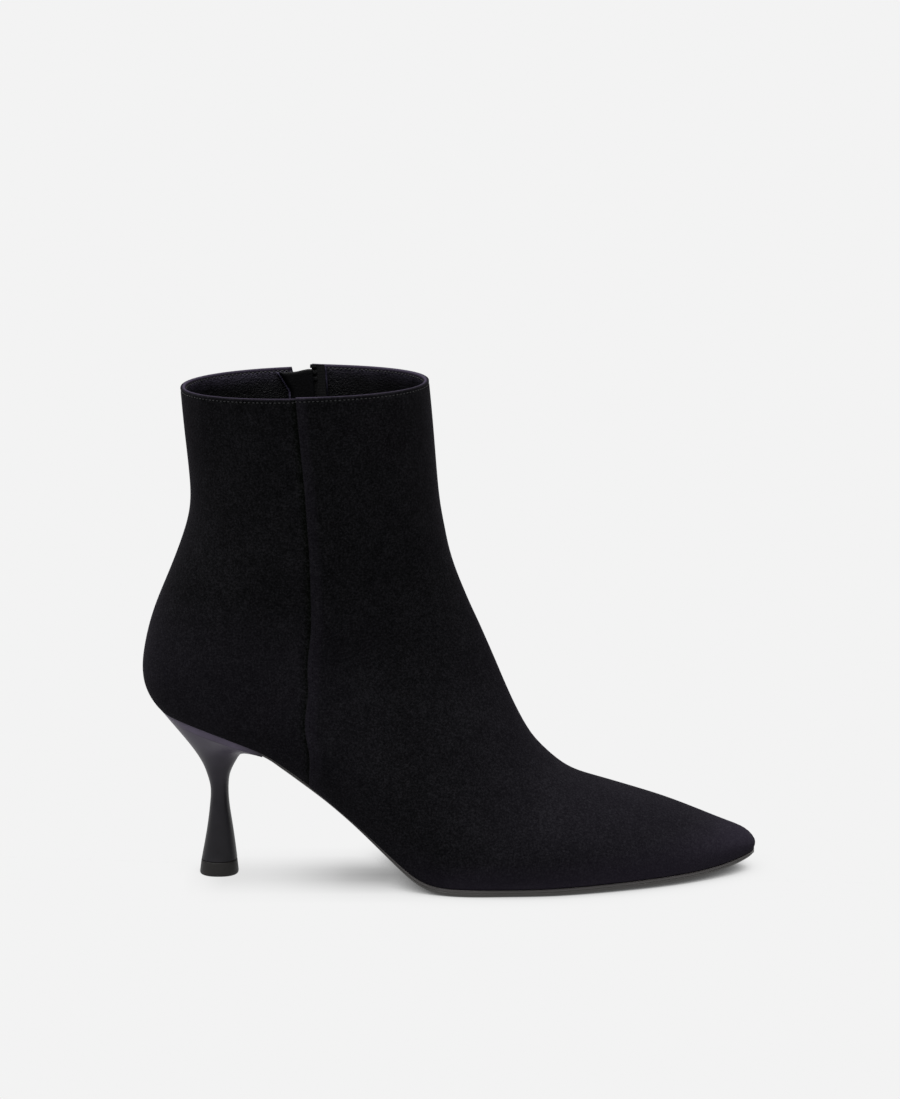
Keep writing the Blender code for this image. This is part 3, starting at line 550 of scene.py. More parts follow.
def grid_normal(points, reach):
    """Outward normals over the wall's grid, which is closed around, from steps this many points wide."""
    rows = np.arange(points.shape[1])
    around = np.roll(points, -reach, axis=0) - np.roll(points, reach, axis=0)
    down = points[:, np.minimum(rows + reach, rows[-1])] - points[:, np.maximum(rows - reach, 0)]
    return unit(np.cross(down, around))


NORMAL_STEPS = (1, 2, 4)
RELAX_TURNS = 160
RELAX_STEP = 5
RELAX_SHARE = 0.5
RELAX_BEFORE_X = (52.0, 12.0)
RELAX_BELOW_Z = (104.0, 14.0)
RELAX_EDGE = 1.2


def relaxed(points, rises):
    """The grid with the ribs evened out over the heel, sliding along the surface only."""
    rows = np.arange(points.shape[1])
    ahead, ramp_x = RELAX_BEFORE_X
    above, ramp_z = RELAX_BELOW_Z
    weight = within((ahead - points[:, :, 0]) / ramp_x) * within((above - points[:, :, 2]) / ramp_z)
    weight = (weight * within(rises / RELAX_EDGE))[:, :, None]
    for _ in range(RELAX_TURNS):
        normal = grid_normal(points, RELAX_STEP)
        mean = np.roll(points, -1, axis=0) + np.roll(points, 1, axis=0)
        mean = (mean + points[:, np.minimum(rows + 1, rows[-1])] + points[:, np.maximum(rows - 1, 0)]) / 4
        move = mean - points
        move -= normal * np.sum(move * normal, axis=2, keepdims=True)
        points = points + move * weight * RELAX_SHARE
    return points


def make_wall_grid():
    """The wall's points and normals, and each point's distance from the collar, sole, seam and slit."""
    columns = []
    for side in (-1, 1):
        side_columns = []
        for share, offset in zip(*side_shares(side)):
            line = rib_line(share, side)
            total = line[1][-1]
            lengths = row_lengths(total, zip_end_on(offset, total) if side > 0 else ZIP_END_SHARE * total)
            spot = on_rib(line, lengths / total)
            if side > 0 and SLIT_HALF - SLACK <= abs(offset) < NOTCH_REACH:
                pull = 1 - (abs(offset) - SLIT_HALF) / (NOTCH_REACH - SLIT_HALF)
                for k, drop in enumerate(lengths):
                    if drop < NOTCH_DEPTH:
                        moved = share + math.copysign(notch_widening(drop) * pull, offset) / COLLAR_ARC[side]
                        spot[k] = on_rib(rib_line(moved, side), lengths[k : k + 1] / total)[0]
            spot[:, 2] += panel_rise(offset, lengths, side)
            from_seam = np.full(len(lengths), offset if side < 0 else FAR)
            from_slit = np.full(len(lengths), offset if side > 0 else FAR)
            side_columns.append((spot, lengths, total - lengths, from_seam, from_slit))
        columns += side_columns if side < 0 else side_columns[-2:0:-1]
    points, drops, rises, seams, slits = (np.array(values) for values in zip(*columns))
    points = relaxed(points, rises)
    normals = unit(sum(grid_normal(points, reach) for reach in NORMAL_STEPS))
    return points, normals, drops, rises, seams, slits


WALL_POINTS, WALL_NORMALS, DROPS, RISES, FROM_SEAM, FROM_SLIT = make_wall_grid()
COLUMNS, ROWS = DROPS.shape

# Profiles of the suede as pairs of a distance and how far the surface stands out there
COLLAR_ROLL = ((0.0, -0.62), (0.1, -0.3), (0.25, -0.08), (0.5, 0.06), (0.9, 0.1), (1.4, 0.02), (1.8, 0.0))
COLLAR_BACK = ((0.0, -1.18), (0.1, -1.46), (0.25, -1.64), (0.5, -1.76), (0.9, -1.8), (1.4, -1.8), (1.8, -0.9))
FEATHER_TUCK = ((0.0, -0.22), (0.15, -0.12), (0.45, -0.05), (0.9, 0.0))
FEATHER_DROP = ((0.0, -0.26), (0.45, -0.12), (0.9, 0.0))
SLIT_ROLL = ((0.0, -0.6), (0.15, -0.26), (0.4, -0.08), (0.8, 0.0))
SLIT_BACK = ((0.0, -1.2), (0.15, -1.54), (0.4, -1.72), (0.8, -1.8), (1.4, -1.8), (2.2, -0.9))
LAP_PROFILE = (
    (-3.0, 0.0), (-1.1, -0.05), (-0.3, -0.16), (-0.1, -0.16), (0.0, 0.06), (0.1, 0.28), (0.22, 0.42),
    (0.4, 0.52), (0.65, 0.58), (0.95, 0.50), (1.25, 0.54), (1.7, 0.64), (2.4, 0.66), (5.0, 0.56),
    (10.0, 0.2), (14.0, 0.0),
)
TOPLINE_DROP = 1.4
TOPLINE_GROOVE = (0.26, 0.36)
NAP = 0.22


def slit_distance():
    """Distance of each point from the slit's edge, which is large away from it."""
    beside = np.abs(FROM_SLIT) - SLIT_HALF
    beside[:, ZIP_END_ROW + 1 :] = FAR
    return np.where(beside > -SLACK, np.maximum(beside, 0.0), FAR)


def slit_cells():
    """Grid cells that the slit leaves open."""
    inside = np.abs(FROM_SLIT[:, 0]) < SLIT_HALF + SLACK
    starts = np.flatnonzero(inside & np.roll(inside, -1)).tolist()
    return {(i, k) for i in starts for k in range(ZIP_END_ROW)}


def suede_face():
    """How far the suede's outer face stands from the wall's own surface."""
    roll = np.minimum(profile(COLLAR_ROLL, DROPS), profile(FEATHER_TUCK, RISES))
    roll = np.minimum(roll, profile(SLIT_ROLL, slit_distance()))
    depth, width = TOPLINE_GROOVE
    groove = -depth * np.exp(-(((DROPS - TOPLINE_DROP) / width) ** 2))
    return roll + groove + profile(LAP_PROFILE, FROM_SEAM) + NAP * within(RISES / FEATHER_DROP[-1][0])


# Painted light and shade on the suede, as pairs of a distance and how much lighter or darker the colour is
# made there
# painted shade in a dark line behind the seam, and a painted highlight on the raised lap ahead of it
SEAM_PAINTED_LIGHT = (
    (-3.0, 0.0), (-1.4, -0.4), (-0.5, -0.9), (-0.05, -1.0), (0.1, 0.6), (0.5, 1.1), (1.5, 0.9), (3.2, 0.6),
    (5.0, 0.0),
)
# painted highlight on the top of the collar's rim, and painted shade in the topline groove below it
RIM_PAINTED_LIGHT = ((0.0, 2.5), (0.1, 1.0), (0.25, 0.6), (0.5, 0.4), (1.0, 0.1), (1.4, -0.3), (2.1, 0.0), (3.0, 0.0))
# painted highlight along the rim's inner edge, on the suede's inside
RIM_BACK_PAINTED_HIGHLIGHT = ((0.0, 14.0), (0.25, 8.0), (0.9, 5.0), (1.8, 3.0))
# painted shade along the feather, where the upper meets the sole
FEATHER_PAINTED_SHADE = ((0.0, -0.4), (0.5, -0.2), (1.6, 0.0))

# Painted light on the suede along the foot, lighter round the heel and toward the toe, which fades out up the
# shaft, and more of it low down on the forefoot
FOOT_PAINTED_LIGHT = (
    (0.0, 0.8), (40.0, 0.6), (75.0, 0.4), (105.0, 0.1), (122.0, 0.15), (150.0, 0.5), (180.0, 0.8),
    (200.0, 0.9), (218.0, 0.9),
)
FOOT_FADE_Z = (125.0, 25.0)
LOW_PAINTED_LIGHT = ((0.0, 2.8), (7.0, 2.8), (14.0, 2.0), (24.0, 0.8), (34.0, 0.0))
LOW_PAINTED_LIGHT_FROM_X = (100.0, 30.0)


def set_tone(obj, tone):
    """Keeps with each point how much lighter or darker the surface is painted there: painted light and shade,
    and some of the outsole's own tone.
    """
    attribute = obj.data.attributes.new("tone", "FLOAT", "POINT")
    attribute.data.foreach_set("value", np.ravel(tone))


def painted_foot_light():
    """How much painted light the suede gets on the foot, over that on the shaft."""
    top, fade = FOOT_FADE_Z
    tone = profile(FOOT_PAINTED_LIGHT, WALL_POINTS[:, :, 0]) * within((top - WALL_POINTS[:, :, 2]) / fade)
    start, ramp = LOW_PAINTED_LIGHT_FROM_X
    return tone + profile(LOW_PAINTED_LIGHT, RISES) * within((WALL_POINTS[:, :, 0] - start) / ramp)


def make_suede(material):
    back = np.minimum(profile(COLLAR_BACK, DROPS), profile(SLIT_BACK, slit_distance()))
    face = suede_face()
    lower = np.zeros_like(WALL_POINTS)
    lower[:, :, 2] = profile(FEATHER_DROP, RISES)
    outside = WALL_POINTS + WALL_NORMALS * face[:, :, None] + lower
    inside = WALL_POINTS + WALL_NORMALS * back[:, :, None] + lower
    faces = shell_faces(COLUMNS, ROWS, True, slit_cells())
    points = np.concatenate([outside.reshape(-1, 3), inside.reshape(-1, 3)])
    obj = add_piece("upper_suede", points, faces, material, "suede", replaces=["upper"])
    # painted shade and highlights at the seam, rim and feather, painted light on the foot, and the painted
    # highlight on the rim's inner edge
    tone = profile(SEAM_PAINTED_LIGHT, FROM_SEAM) + profile(RIM_PAINTED_LIGHT, DROPS) + profile(FEATHER_PAINTED_SHADE, RISES)
    tone += painted_foot_light()
    set_tone(obj, [tone, profile(RIM_BACK_PAINTED_HIGHLIGHT, DROPS)])
    return outside


LINING_TOP = ((1.2, -1.5), (1.35, -1.72), (1.6, -1.86), (2.4, -1.9), (6.0, -1.84))
LINING_STEPS = (1.2, 1.35, 1.6, 2.0, 2.4, 3.4, 6.0)
LINING_ROWS = 60
LINING_RIBS = 84
LINING_SLIT_OFFSETS = (4.2, 4.5, 5.2, 7.0, 10.0, 15.0)
LINING_BACK = -1.0
# Painted light on the lining: its strength along the boot, and how it falls off from the top of the lining
# down, as if lit from above through the opening
LINING_SIDE_PAINTED_LIGHT = ((30.0, 1.15), (58.0, 1.0), (70.0, 0.5), (92.0, 0.5), (112.0, 0.8))
LINING_PAINTED_LIGHT = ((1.0, 22.0), (2.4, 20.0), (3.3, 11.0), (4.3, 6.0), (5.5, 2.6), (8.0, 0.8), (12.0, 0.0))


def make_lining(material):
    arc = COLLAR_ARC[-1]
    columns = [(share, (share - SEAM_SHARE) * arc, -1) for share in np.linspace(0.0, 1.0, LINING_RIBS)]
    arc = COLLAR_ARC[1]
    edge = np.array(LINING_SLIT_OFFSETS)
    close = SEAM_SHARE + np.concatenate([-edge[::-1], [0.0], edge]) / arc
    behind = np.linspace(0.0, close[0], LINING_RIBS // 2)[1:-1]
    ahead = np.linspace(close[-1], 1.0, LINING_RIBS // 2)[1:-1]
    inner = np.concatenate([behind, close, ahead])[::-1]
    columns += [(share, (share - SEAM_SHARE) * arc, 1) for share in inner]
    found = []
    for share, offset, side in columns:
        total = rib_line(share, side)[1][-1]
        lengths = np.concatenate([LINING_STEPS, np.linspace(LINING_STEPS[-1], total, LINING_ROWS)[1:]])
        spot, normal = skin_column(share, side, lengths / total)
        spot[:, 2] += panel_rise(offset, lengths, side)
        found.append((spot, normal, lengths))
    points, normals, drops = (np.array(values) for values in zip(*found))
    rows = points.shape[1]
    face = points + normals * profile(LINING_TOP, drops)[:, :, None]
    back = points + normals * LINING_BACK
    missing = set()
    for i, (_, offset, side) in enumerate(columns):
        after = columns[(i + 1) % len(columns)][1]
        if side > 0 and max(abs(offset), abs(after)) < edge[0] + SLACK:
            missing.update((i, k) for k in range(rows - 1) if drops[i, k] < ZIP_END)
    grid = np.concatenate([back.reshape(-1, 3), face.reshape(-1, 3)])
    faces = shell_faces(len(columns), rows, True, missing)
    obj = add_piece("upper_lining", grid, faces, material, "lining")
    # painted light on the lining's face, none on its back
    tone = profile(LINING_PAINTED_LIGHT, drops) * profile(LINING_SIDE_PAINTED_LIGHT, points[:, :, 0])
    set_tone(obj, [np.zeros_like(drops), tone])


# Stitches: their rings, the least share of their thickness at the ends, how flat they lie and how far along
# the path their direction is taken
STITCH_SIDES = 6
STITCH_RINGS = 5
STITCH_END = 0.25
STITCH_FLAT = 0.8
STITCH_AIM = 0.2

# Rows of stitches: pitch, length, radius and lift over the surface
TOPLINE_STITCH = (1.75, 0.95, 0.25, 0.04)
SEAM_STITCH = (1.7, 0.9, 0.2, -0.08)
ZIP_STITCH = (2.0, 1.5, 0.16, 0.0)
TOPLINE_STITCH_CLEAR = 1.5
LINING_STITCH_DEPTH = WALL + 0.07
SEAM_STITCH_OFFSET = 1.7
SEAM_STITCH_ROW = 3
ZIP_STITCH_OFFSET = 5.0
ZIP_STITCH_ROW = 8
ZIP_STITCH_SAMPLES = 90
ZIP_STITCH_END = 4.0


def stitch_points(length, radius):
    """A stitch along its own x, as a capsule that is a little flat."""
    points = []
    for turn in np.linspace(0.0, math.pi, STITCH_RINGS):
        along = -math.cos(turn) * length / 2
        thick = radius * max(STITCH_END, math.sin(turn) ** 0.5)
        for angle in np.linspace(0.0, 2 * math.pi, STITCH_SIDES, endpoint=False):
            points.append((along, thick * math.cos(angle), thick * STITCH_FLAT * math.sin(angle)))
    return np.array(points), tube_faces(STITCH_RINGS, STITCH_SIDES)


def stitch_row(name, path, normals, pitch, length, radius, lift, material, slot):
    """Stitches along a path on a surface."""
    run = lengths_along(path)
    shape, shape_faces = stitch_points(length, radius)
    places = np.arange(pitch / 2, run[-1], pitch)
    along = unit(along_path(places + STITCH_AIM, run, path) - along_path(places - STITCH_AIM, run, path))
    out = along_path(places, run, normals)
    out = unit(out - along * np.sum(out * along, axis=1, keepdims=True))
    centres = along_path(places, run, path) + out * lift
    turns = np.stack([along, np.cross(out, along), out], axis=1)
    parts = [(centre + shape @ turn, shape_faces) for centre, turn in zip(centres, turns)]
    return add_piece(name, *merged(parts), material, slot)


def column_at(offset, of):
    """The wall's column at this distance from the seam or the slit."""
    return int(np.argmin(np.abs(of[:, 0] - offset)))


def make_stitches(outside, material, nap):
    row = int(np.argmin(np.abs(DROPS[0] - TOPLINE_DROP)))
    start = column_at(-SLIT_HALF, FROM_SLIT)
    around = [(start + 1 + i) % COLUMNS for i in range(COLUMNS)]
    around = [i for i in around if abs(FROM_SLIT[i, 0]) > SLIT_HALF + TOPLINE_STITCH_CLEAR]
    normals = WALL_NORMALS[around, row]
    stitch_row("topline_stitches", outside[around, row], normals, *TOPLINE_STITCH, material, "suede")
    inner = WALL_POINTS[around, row] - normals * LINING_STITCH_DEPTH
    stitch_row("lining_stitches", inner, -normals, *TOPLINE_STITCH, material, "lining")
    seam = column_at(SEAM_STITCH_OFFSET, FROM_SEAM)
    path, normals = (grid[seam, SEAM_STITCH_ROW:] for grid in (outside, WALL_NORMALS))
    stitch_row("seam_stitches", path, normals, *SEAM_STITCH, nap, "suede")
    make_zip_stitches(outside, material)


def make_zip_stitches(outside, material):
    """Rows down both sides of the zip and one across below it."""
    grids = outside, WALL_NORMALS
    end = ZIP_END + ZIP_STITCH_END
    for sign, word in ((-1, "back"), (1, "front")):
        column = column_at(sign * ZIP_STITCH_OFFSET, FROM_SLIT)
        drops = np.linspace(DROPS[column, ZIP_STITCH_ROW], end, ZIP_STITCH_SAMPLES)
        path, normals = (along_path(drops, DROPS[column], grid[column]) for grid in grids)
        stitch_row(f"zip_{word}_stitches", path, normals, *ZIP_STITCH, material, "suede")
    across = [i for i in range(COLUMNS) if abs(FROM_SLIT[i, 0]) < ZIP_STITCH_OFFSET + SLACK]
    across.sort(key=lambda i: FROM_SLIT[i, 0])
    path, normals = (np.array([along_path(end, DROPS[i], grid[i]) for i in across]) for grid in grids)
    stitch_row("zip_end_stitches", path, normals, *ZIP_STITCH, material, "suede")


OUTLINE_SAMPLES = 61


def feather_y(x, side):
    """Signed y of the feather line."""
    points = FEATHERS[side][1]
    return np.interp(x, points[:, 0], points[:, 1])


def sole_outline(x, side, extra):
    """Signed y of the feather line moved outwards by extra, or inwards where extra is below 0."""
    reach = abs(extra)
    shift = np.linspace(-reach, reach, OUTLINE_SAMPLES)
    line = side * feather_y(x + shift, side)
    moved = line + math.copysign(1.0, extra) * np.sqrt(np.maximum(0.0, reach**2 - shift**2))
    return side * (moved.max() if extra > 0 else moved.min())


def ring_normals(ring):
    """Directions out of a closed flat outline."""
    along = np.roll(ring, -1, axis=0) - np.roll(ring, 1, axis=0)
    return unit(np.stack([along[:, 1], -along[:, 0]], axis=1))


def make_slab(name, stations, extra, edge, material, slot, replaces, square=False):
    """A flat piece under the foot. edge gives each edge row's inset and its height over the sole line.
    Its ring runs along the outer side from the heel to the toe, then along the inner side back."""
    outer = [(x, sole_outline(x, -1, extra(x))) for x in stations]
    inner = [(x, sole_outline(x, 1, extra(x))) for x in stations[::-1]]
    ring = np.array(outer + inner)
    out = ring_normals(ring)
    if square:
        out[0] = 0.0, -1.0
        out[-1] = 0.0, 1.0
    size = len(ring)
    rows = []
    for inset, height in edge(ring[:, 0]):
        spot = ring - out * inset[:, None]
        rows.append(np.column_stack([spot, sole_height(ring[:, 0]) + height]))
    faces = tube_faces(len(rows), size, capped=False)
    last = (len(rows) - 1) * size
    for i in range(size // 2 - 1):
        j = size - 1 - i
        faces.append((j, j - 1, i + 1, i))
        faces.append((last + i, last + i + 1, last + j - 1, last + j))
    return add_piece(name, np.concatenate(rows), faces, material, slot, replaces=replaces, sharp=50)


# Rows of the outsole's edge: share of its thickness from the top, inset, and share of the bevel taken there
SOLE_EDGE_ROWS = (
    (0.00, 0.30, 0.0), (0.03, 0.08, 0.0), (0.08, 0.0, 0.0), (0.36, 0.0, 0.0), (0.40, 0.10, 0.0),
    (0.46, 0.12, 0.0), (0.49, 0.02, 0.0), (0.60, 0.02, 0.03), (0.74, 0.02, 0.16), (0.86, 0.02, 0.42),
    (0.95, 0.02, 0.74), (1.00, 0.02, 1.0),
)
SOLE_SEAT = -0.1
# Tone down the outsole's edge by share of its thickness from the top: a little lighter along the upper band,
# painted shade in the groove and where the bevel turns under
SOLE_TONE_AND_PAINTED_SHADE = ((0.0, 0.3), (0.36, 0.3), (0.4, -0.6), (0.46, -0.6), (0.49, 0.1), (0.8, -0.1), (1.0, -0.7))
SOLE_TOE_X = 152.0
SOLE_STATIONS = (90, 70)
SOLE_CROWDING = 2.4


def eased(start, end, count, power):
    """Stations from start to end that close up towards the end."""
    return start + (end - start) * (1 - (1 - np.linspace(0.0, 1.0, count)) ** power)


def make_outsole(material):
    along = OUTSOLE["along"]
    arch_count, toe_count = SOLE_STATIONS
    arch = np.linspace(along[0], SOLE_TOE_X, arch_count)[:-1]
    stations = np.concatenate([arch, eased(SOLE_TOE_X, along[-1], toe_count, SOLE_CROWDING)])

    def extra(x):
        return np.interp(x, along, OUTSOLE["extra"])

    def edge(x):
        thick = np.interp(x, along, OUTSOLE["thick"])
        bevel = np.interp(x, along, OUTSOLE["bevel"])
        for down, inset, share in SOLE_EDGE_ROWS:
            yield inset + bevel * share, SOLE_SEAT - thick * down

    obj = make_slab(
        "outsole_leather", stations, extra, edge, material, "sole_leather", ["outsole"], square=True
    )
    tones = [profile(SOLE_TONE_AND_PAINTED_SHADE, down) for down, _, _ in SOLE_EDGE_ROWS]
    set_tone(obj, np.repeat(tones, 2 * len(stations)))


# Rows of the insole's edge: inset and height
INSOLE_EDGE_ROWS = ((0.5, 2.2), (0.2, 2.14), (0.05, 2.0), (0.0, 1.7), (0.0, 0.4), (0.3, 0.0))
INSOLE_BETWEEN_X = (20.0, 200.0)
INSOLE_STATIONS = (16, 90, 24)
INSOLE_CROWDING = 2.0


def make_insole(material):
    start = FEATHERS[1][1][0, 0] + INSOLE_BACK_INSET
    heel_x, toe_x = INSOLE_BETWEEN_X
    heel_count, arch_count, toe_count = INSOLE_STATIONS
    heel = start + (heel_x - start) * (1 - np.cos(np.linspace(0.0, math.pi / 2, heel_count)))
    arch = np.linspace(heel_x, toe_x, arch_count)
    toe = eased(toe_x, INSOLE_END_X, toe_count, INSOLE_CROWDING)
    stations = np.concatenate([heel[:-1], arch[:-1], toe])

    def edge(x):
        for inset, height in INSOLE_EDGE_ROWS:
            yield np.full(len(x), inset), np.full(len(x), height)

    make_slab("insole_sock", stations, lambda x: -INSOLE_INSET, edge, material, "lining", ["insole"])


HEEL_RING = 112
HEEL_RINGS = 70
HEEL_SEAT = -0.1

# Shares of the way down the band under the upper, and how far the top and foot are drawn in and let down
HEEL_BAND_SHARES = (0.12, 0.5, 0.88)
HEEL_TOP_INSET = 0.12
HEEL_FOOT_INSET = 0.3
HEEL_FOOT_DROP = 0.05

# Painted light on the lacquer by the height of its back over the floor, and on the band under the upper:
# lighter toward the top, a little darker near the floor, fading out toward the front
HEEL_PAINTED_LIGHT = ((0.0, -0.25), (20.0, -0.15), (34.0, 0.1), (38.0, 0.3), (50.0, 1.0), (58.0, 2.0), (68.4, 3.2))
HEEL_BAND_PAINTED_LIGHT = 5.0
HEEL_PAINTED_LIGHT_FADE = ((38.0, 1.0), (44.0, 0.6), (49.0, 0.0))


def seat_ring(along, across):
    """Places on the upper's lower edge, and on a straight breast, that go with places on a round ring."""
    reach = np.where(along > 0, np.maximum(np.abs(along), np.abs(across)), 1.0)
    across = np.where(along > 0, across / reach, np.sign(across))
    along = along / reach
    x = HEEL_TOP["back_x"] + (along + 1) / 2 * (HEEL_TOP["front_x"] - HEEL_TOP["back_x"])
    outer, inner = (np.abs(feather_y(x, side)) for side in (-1, 1))
    return along, across * np.where(across > 0, outer, inner) / HEEL_TOP["half"]


def blunted(values, power):
    """Sines or cosines for a ring that is the blunter the higher its power."""
    return np.sign(values) * np.abs(values) ** (2 / power)


def heel_ring(values):
    """A ring round the heel: round behind, blunt at the breast."""
    at = dict(zip(HEEL_COLUMNS, values))
    angle = np.linspace(0.0, 2 * math.pi, HEEL_RING, endpoint=False)
    power = np.where(np.cos(angle) > 0, HEEL_BACK_POWER, at["breast"])
    along = -blunted(np.cos(angle), power)
    across = blunted(np.sin(angle), power)
    seat_along, seat_across = seat_ring(along, across)
    along = along + at["seat"] * (seat_along - along)
    across = across + at["seat"] * (seat_across - across)
    share = (along + 1) / 2
    x = at["back_x"] + share * (at["front_x"] - at["back_x"])
    z = at["back_z"] + share * (at["front_z"] - at["back_z"])
    return np.stack([x, -at["half"] * across, z], axis=1)


def ring_about(ring, grow):
    """The ring drawn in towards its middle, or out, by a distance."""
    return ring + unit(ring - ring.mean(axis=0)) * grow


def ring_stack(rings):
    """Points and faces of a body over rings of the heel from the top down."""
    return np.concatenate(rings), [face[::-1] for face in tube_faces(len(rings), HEEL_RING)]


def make_heel(material):
    level = {**HEEL_TOP, "back_z": 0.0, "front_z": 0.0, "seat": 1.0}
    flat = heel_ring([level[name] for name in HEEL_COLUMNS])
    top = np.column_stack([flat[:, :2], sole_height(flat[:, 0]) + HEEL_SEAT])
    run = lengths_along(np.array(HEEL_ROWS)[:, :4])
    curves = [natural_spline(run, column) for column in zip(*HEEL_ROWS)]
    places = np.linspace(0.0, run[-1], HEEL_RINGS)
    rows = [heel_ring([curve(place) for curve in curves]) for place in places]
    band = [ring_about(top, -HEEL_TOP_INSET)]
    band += [top + (rows[0] - top) * share for share in HEEL_BAND_SHARES]
    foot = ring_about(rows[-1], -HEEL_FOOT_INSET) - (0.0, 0.0, HEEL_FOOT_DROP)
    points, faces = ring_stack([*band, *rows, foot])
    obj = add_piece("heel_block", points, faces, material, "heel_lacquer", replaces=["heel"], sharp=60)
    # painted light down the heel, strongest on the band and toward the top
    heights = curves[HEEL_COLUMNS.index("back_z")](places)
    tones = [HEEL_BAND_PAINTED_LIGHT] * len(band) + [*profile(HEEL_PAINTED_LIGHT, heights), HEEL_PAINTED_LIGHT[0][1]]
    set_tone(obj, np.repeat(tones, HEEL_RING) * profile(HEEL_PAINTED_LIGHT_FADE, points[:, 0]))


# Rings of the top lift: share of the way down and how far each is let out
LIFT_RINGS = ((0.0, -0.25), (0.04, -0.06), (0.12, 0.0), (0.5, 0.0), (0.9, 0.0), (0.97, -0.12), (1.0, -0.4))


def make_top_lift(material):
    upper, lower = (np.array(row) for row in LIFT_ROWS)
    rings = [ring_about(heel_ring(upper + (lower - upper) * share), grow) for share, grow in LIFT_RINGS]
    body = ring_stack(rings)
    add_piece("heel_lift", *body, material, "lift_rubber", replaces=["top_lift"], sharp=60)


ZIP_TABLE = np.linspace(-13.0, 13.0, 53)


def zip_surface(offsets, drops):
    """Points and outward normals of the wall round the zip, by column and row."""
    columns = []
    for share in SEAM_SHARE + ZIP_TABLE / COLLAR_ARC[1]:
        columns.append(skin_column(share, 1, drops / rib_line(share, 1)[1][-1]))
    found = []
    for values in (np.array(part) for part in zip(*columns)):
        rows = [along_path(offsets[:, row], ZIP_TABLE, values[:, row]) for row in range(len(drops))]
        found.append(np.stack(rows, axis=1))
    found[0][:, :, 2] += panel_rise(offsets, drops, 1)
    return found


def zip_strip(name, offsets, outside, inside, drops, material, slot, replaces=()):
    """A strip along the zip, by distances ahead of its middle and the places of its two faces."""
    shape = (len(offsets), len(drops))
    spread = [np.asarray(values, float) for values in (offsets, outside, inside)]
    spread = [np.broadcast_to(v[:, None] if v.ndim == 1 else v, shape)[::-1] for v in spread]
    points, normals = zip_surface(spread[0], np.asarray(drops))
    faces_at = [(points + normals * place[:, :, None]).reshape(-1, 3) for place in spread[1:]]
    faces = shell_faces(*shape, False)
    return add_piece(name, np.concatenate(faces_at), faces, material, slot, replaces=replaces, sharp=60)


TAPE_HALF = 2.5
TAPE_FACE = -0.95
TAPE_BACK = -1.5
TAPE_GRID = (9, 80)
TAPE_STOP = 0.4
TOOTH = (2.0, 0.72, 0.8)
TOOTH_BEVEL = 0.2
TOOTH_PITCH = 1.25
TOOTH_ASIDE = 0.55
TOOTH_MARGIN = 0.6


def box_points(size, bevel):
    """A box with cut edges: four rings of eight points."""
    wide, deep, tall = (v / 2 for v in size)
    points = []
    for z, inset in ((-tall, bevel), (bevel - tall, 0.0), (tall - bevel, 0.0), (tall, bevel)):
        x, y = wide - inset, deep - inset
        points += [(bevel - x, -y, z), (x - bevel, -y, z), (x, bevel - y, z), (x, y - bevel, z)]
        points += [(x - bevel, y, z), (bevel - x, y, z), (-x, y - bevel, z), (-x, bevel - y, z)]
    return np.array(points), tube_faces(4, 8)


def make_zip(tape, metal):
    end = ZIP_END - TAPE_STOP
    columns, rows = TAPE_GRID
    drops = np.linspace(CHAIN_TOP_DROP, end, rows)
    offsets = np.linspace(-TAPE_HALF, TAPE_HALF, columns)
    zip_strip("zip_tape", offsets, TAPE_FACE, TAPE_BACK, drops, tape, "zip_tape", ["zip_chain"])
    tooth = box_points(TOOTH, TOOTH_BEVEL)
    places = np.arange(CHAIN_TOP_DROP + TOOTH_MARGIN, end - TOOTH_MARGIN, TOOTH_PITCH / 2)
    teeth = []
    for n, drop in enumerate(places):
        aside = -TOOTH_ASIDE if n % 2 else TOOTH_ASIDE
        teeth.append(in_frame(zip_frame(drop), tooth, (aside, 0.0, TAPE_FACE + TOOTH[2] / 2)))
    add_piece("zip_teeth", *merged(teeth), metal, "zip_metal", sharp=30)


def zip_frame(drop):
    """Place on the zip's middle at this distance below the collar, with its directions."""
    across_span, down_span = SLIDER_SPAN
    rows = (drop + down_span * np.array([-1.0, 0.0, 1.0])) / ZIP_LENGTH
    shares = SEAM_SHARE + across_span * np.array([1.0, 0.0, -1.0]) / COLLAR_ARC[1]
    front, middle, back = (on_rib(rib_line(share, 1), rows) for share in shares)
    across = back[1] - front[1]
    across[2] = 0.0
    across = unit(across)
    out = np.cross(middle[2] - middle[0], across)
    out = unit(out - across * (out @ across))
    if out[1] < 0:
        out = -out
    return {"spot": middle[1], "across": across, "up": np.cross(out, across), "out": out}


TAPE_END = {"from": 4.4, "to": 9.4, "top": -0.2, "low": 26.0, "face": -WALL - 0.15, "back": -WALL - 0.75}
TAPE_END_GRID = (8, 24)
TAPE_END_TEETH = 3
TAPE_END_TOOTH = (2.6, 1.6, 1.1)
TAPE_END_TOOTH_BEVEL = 0.25
TAPE_END_TOOTH_TOP = 0.7
TAPE_END_TOOTH_ASIDE = 0.3
TAPE_END_TOOTH_DEPTH = WALL + 0.9
TAPE_END_PITCH = 2.5


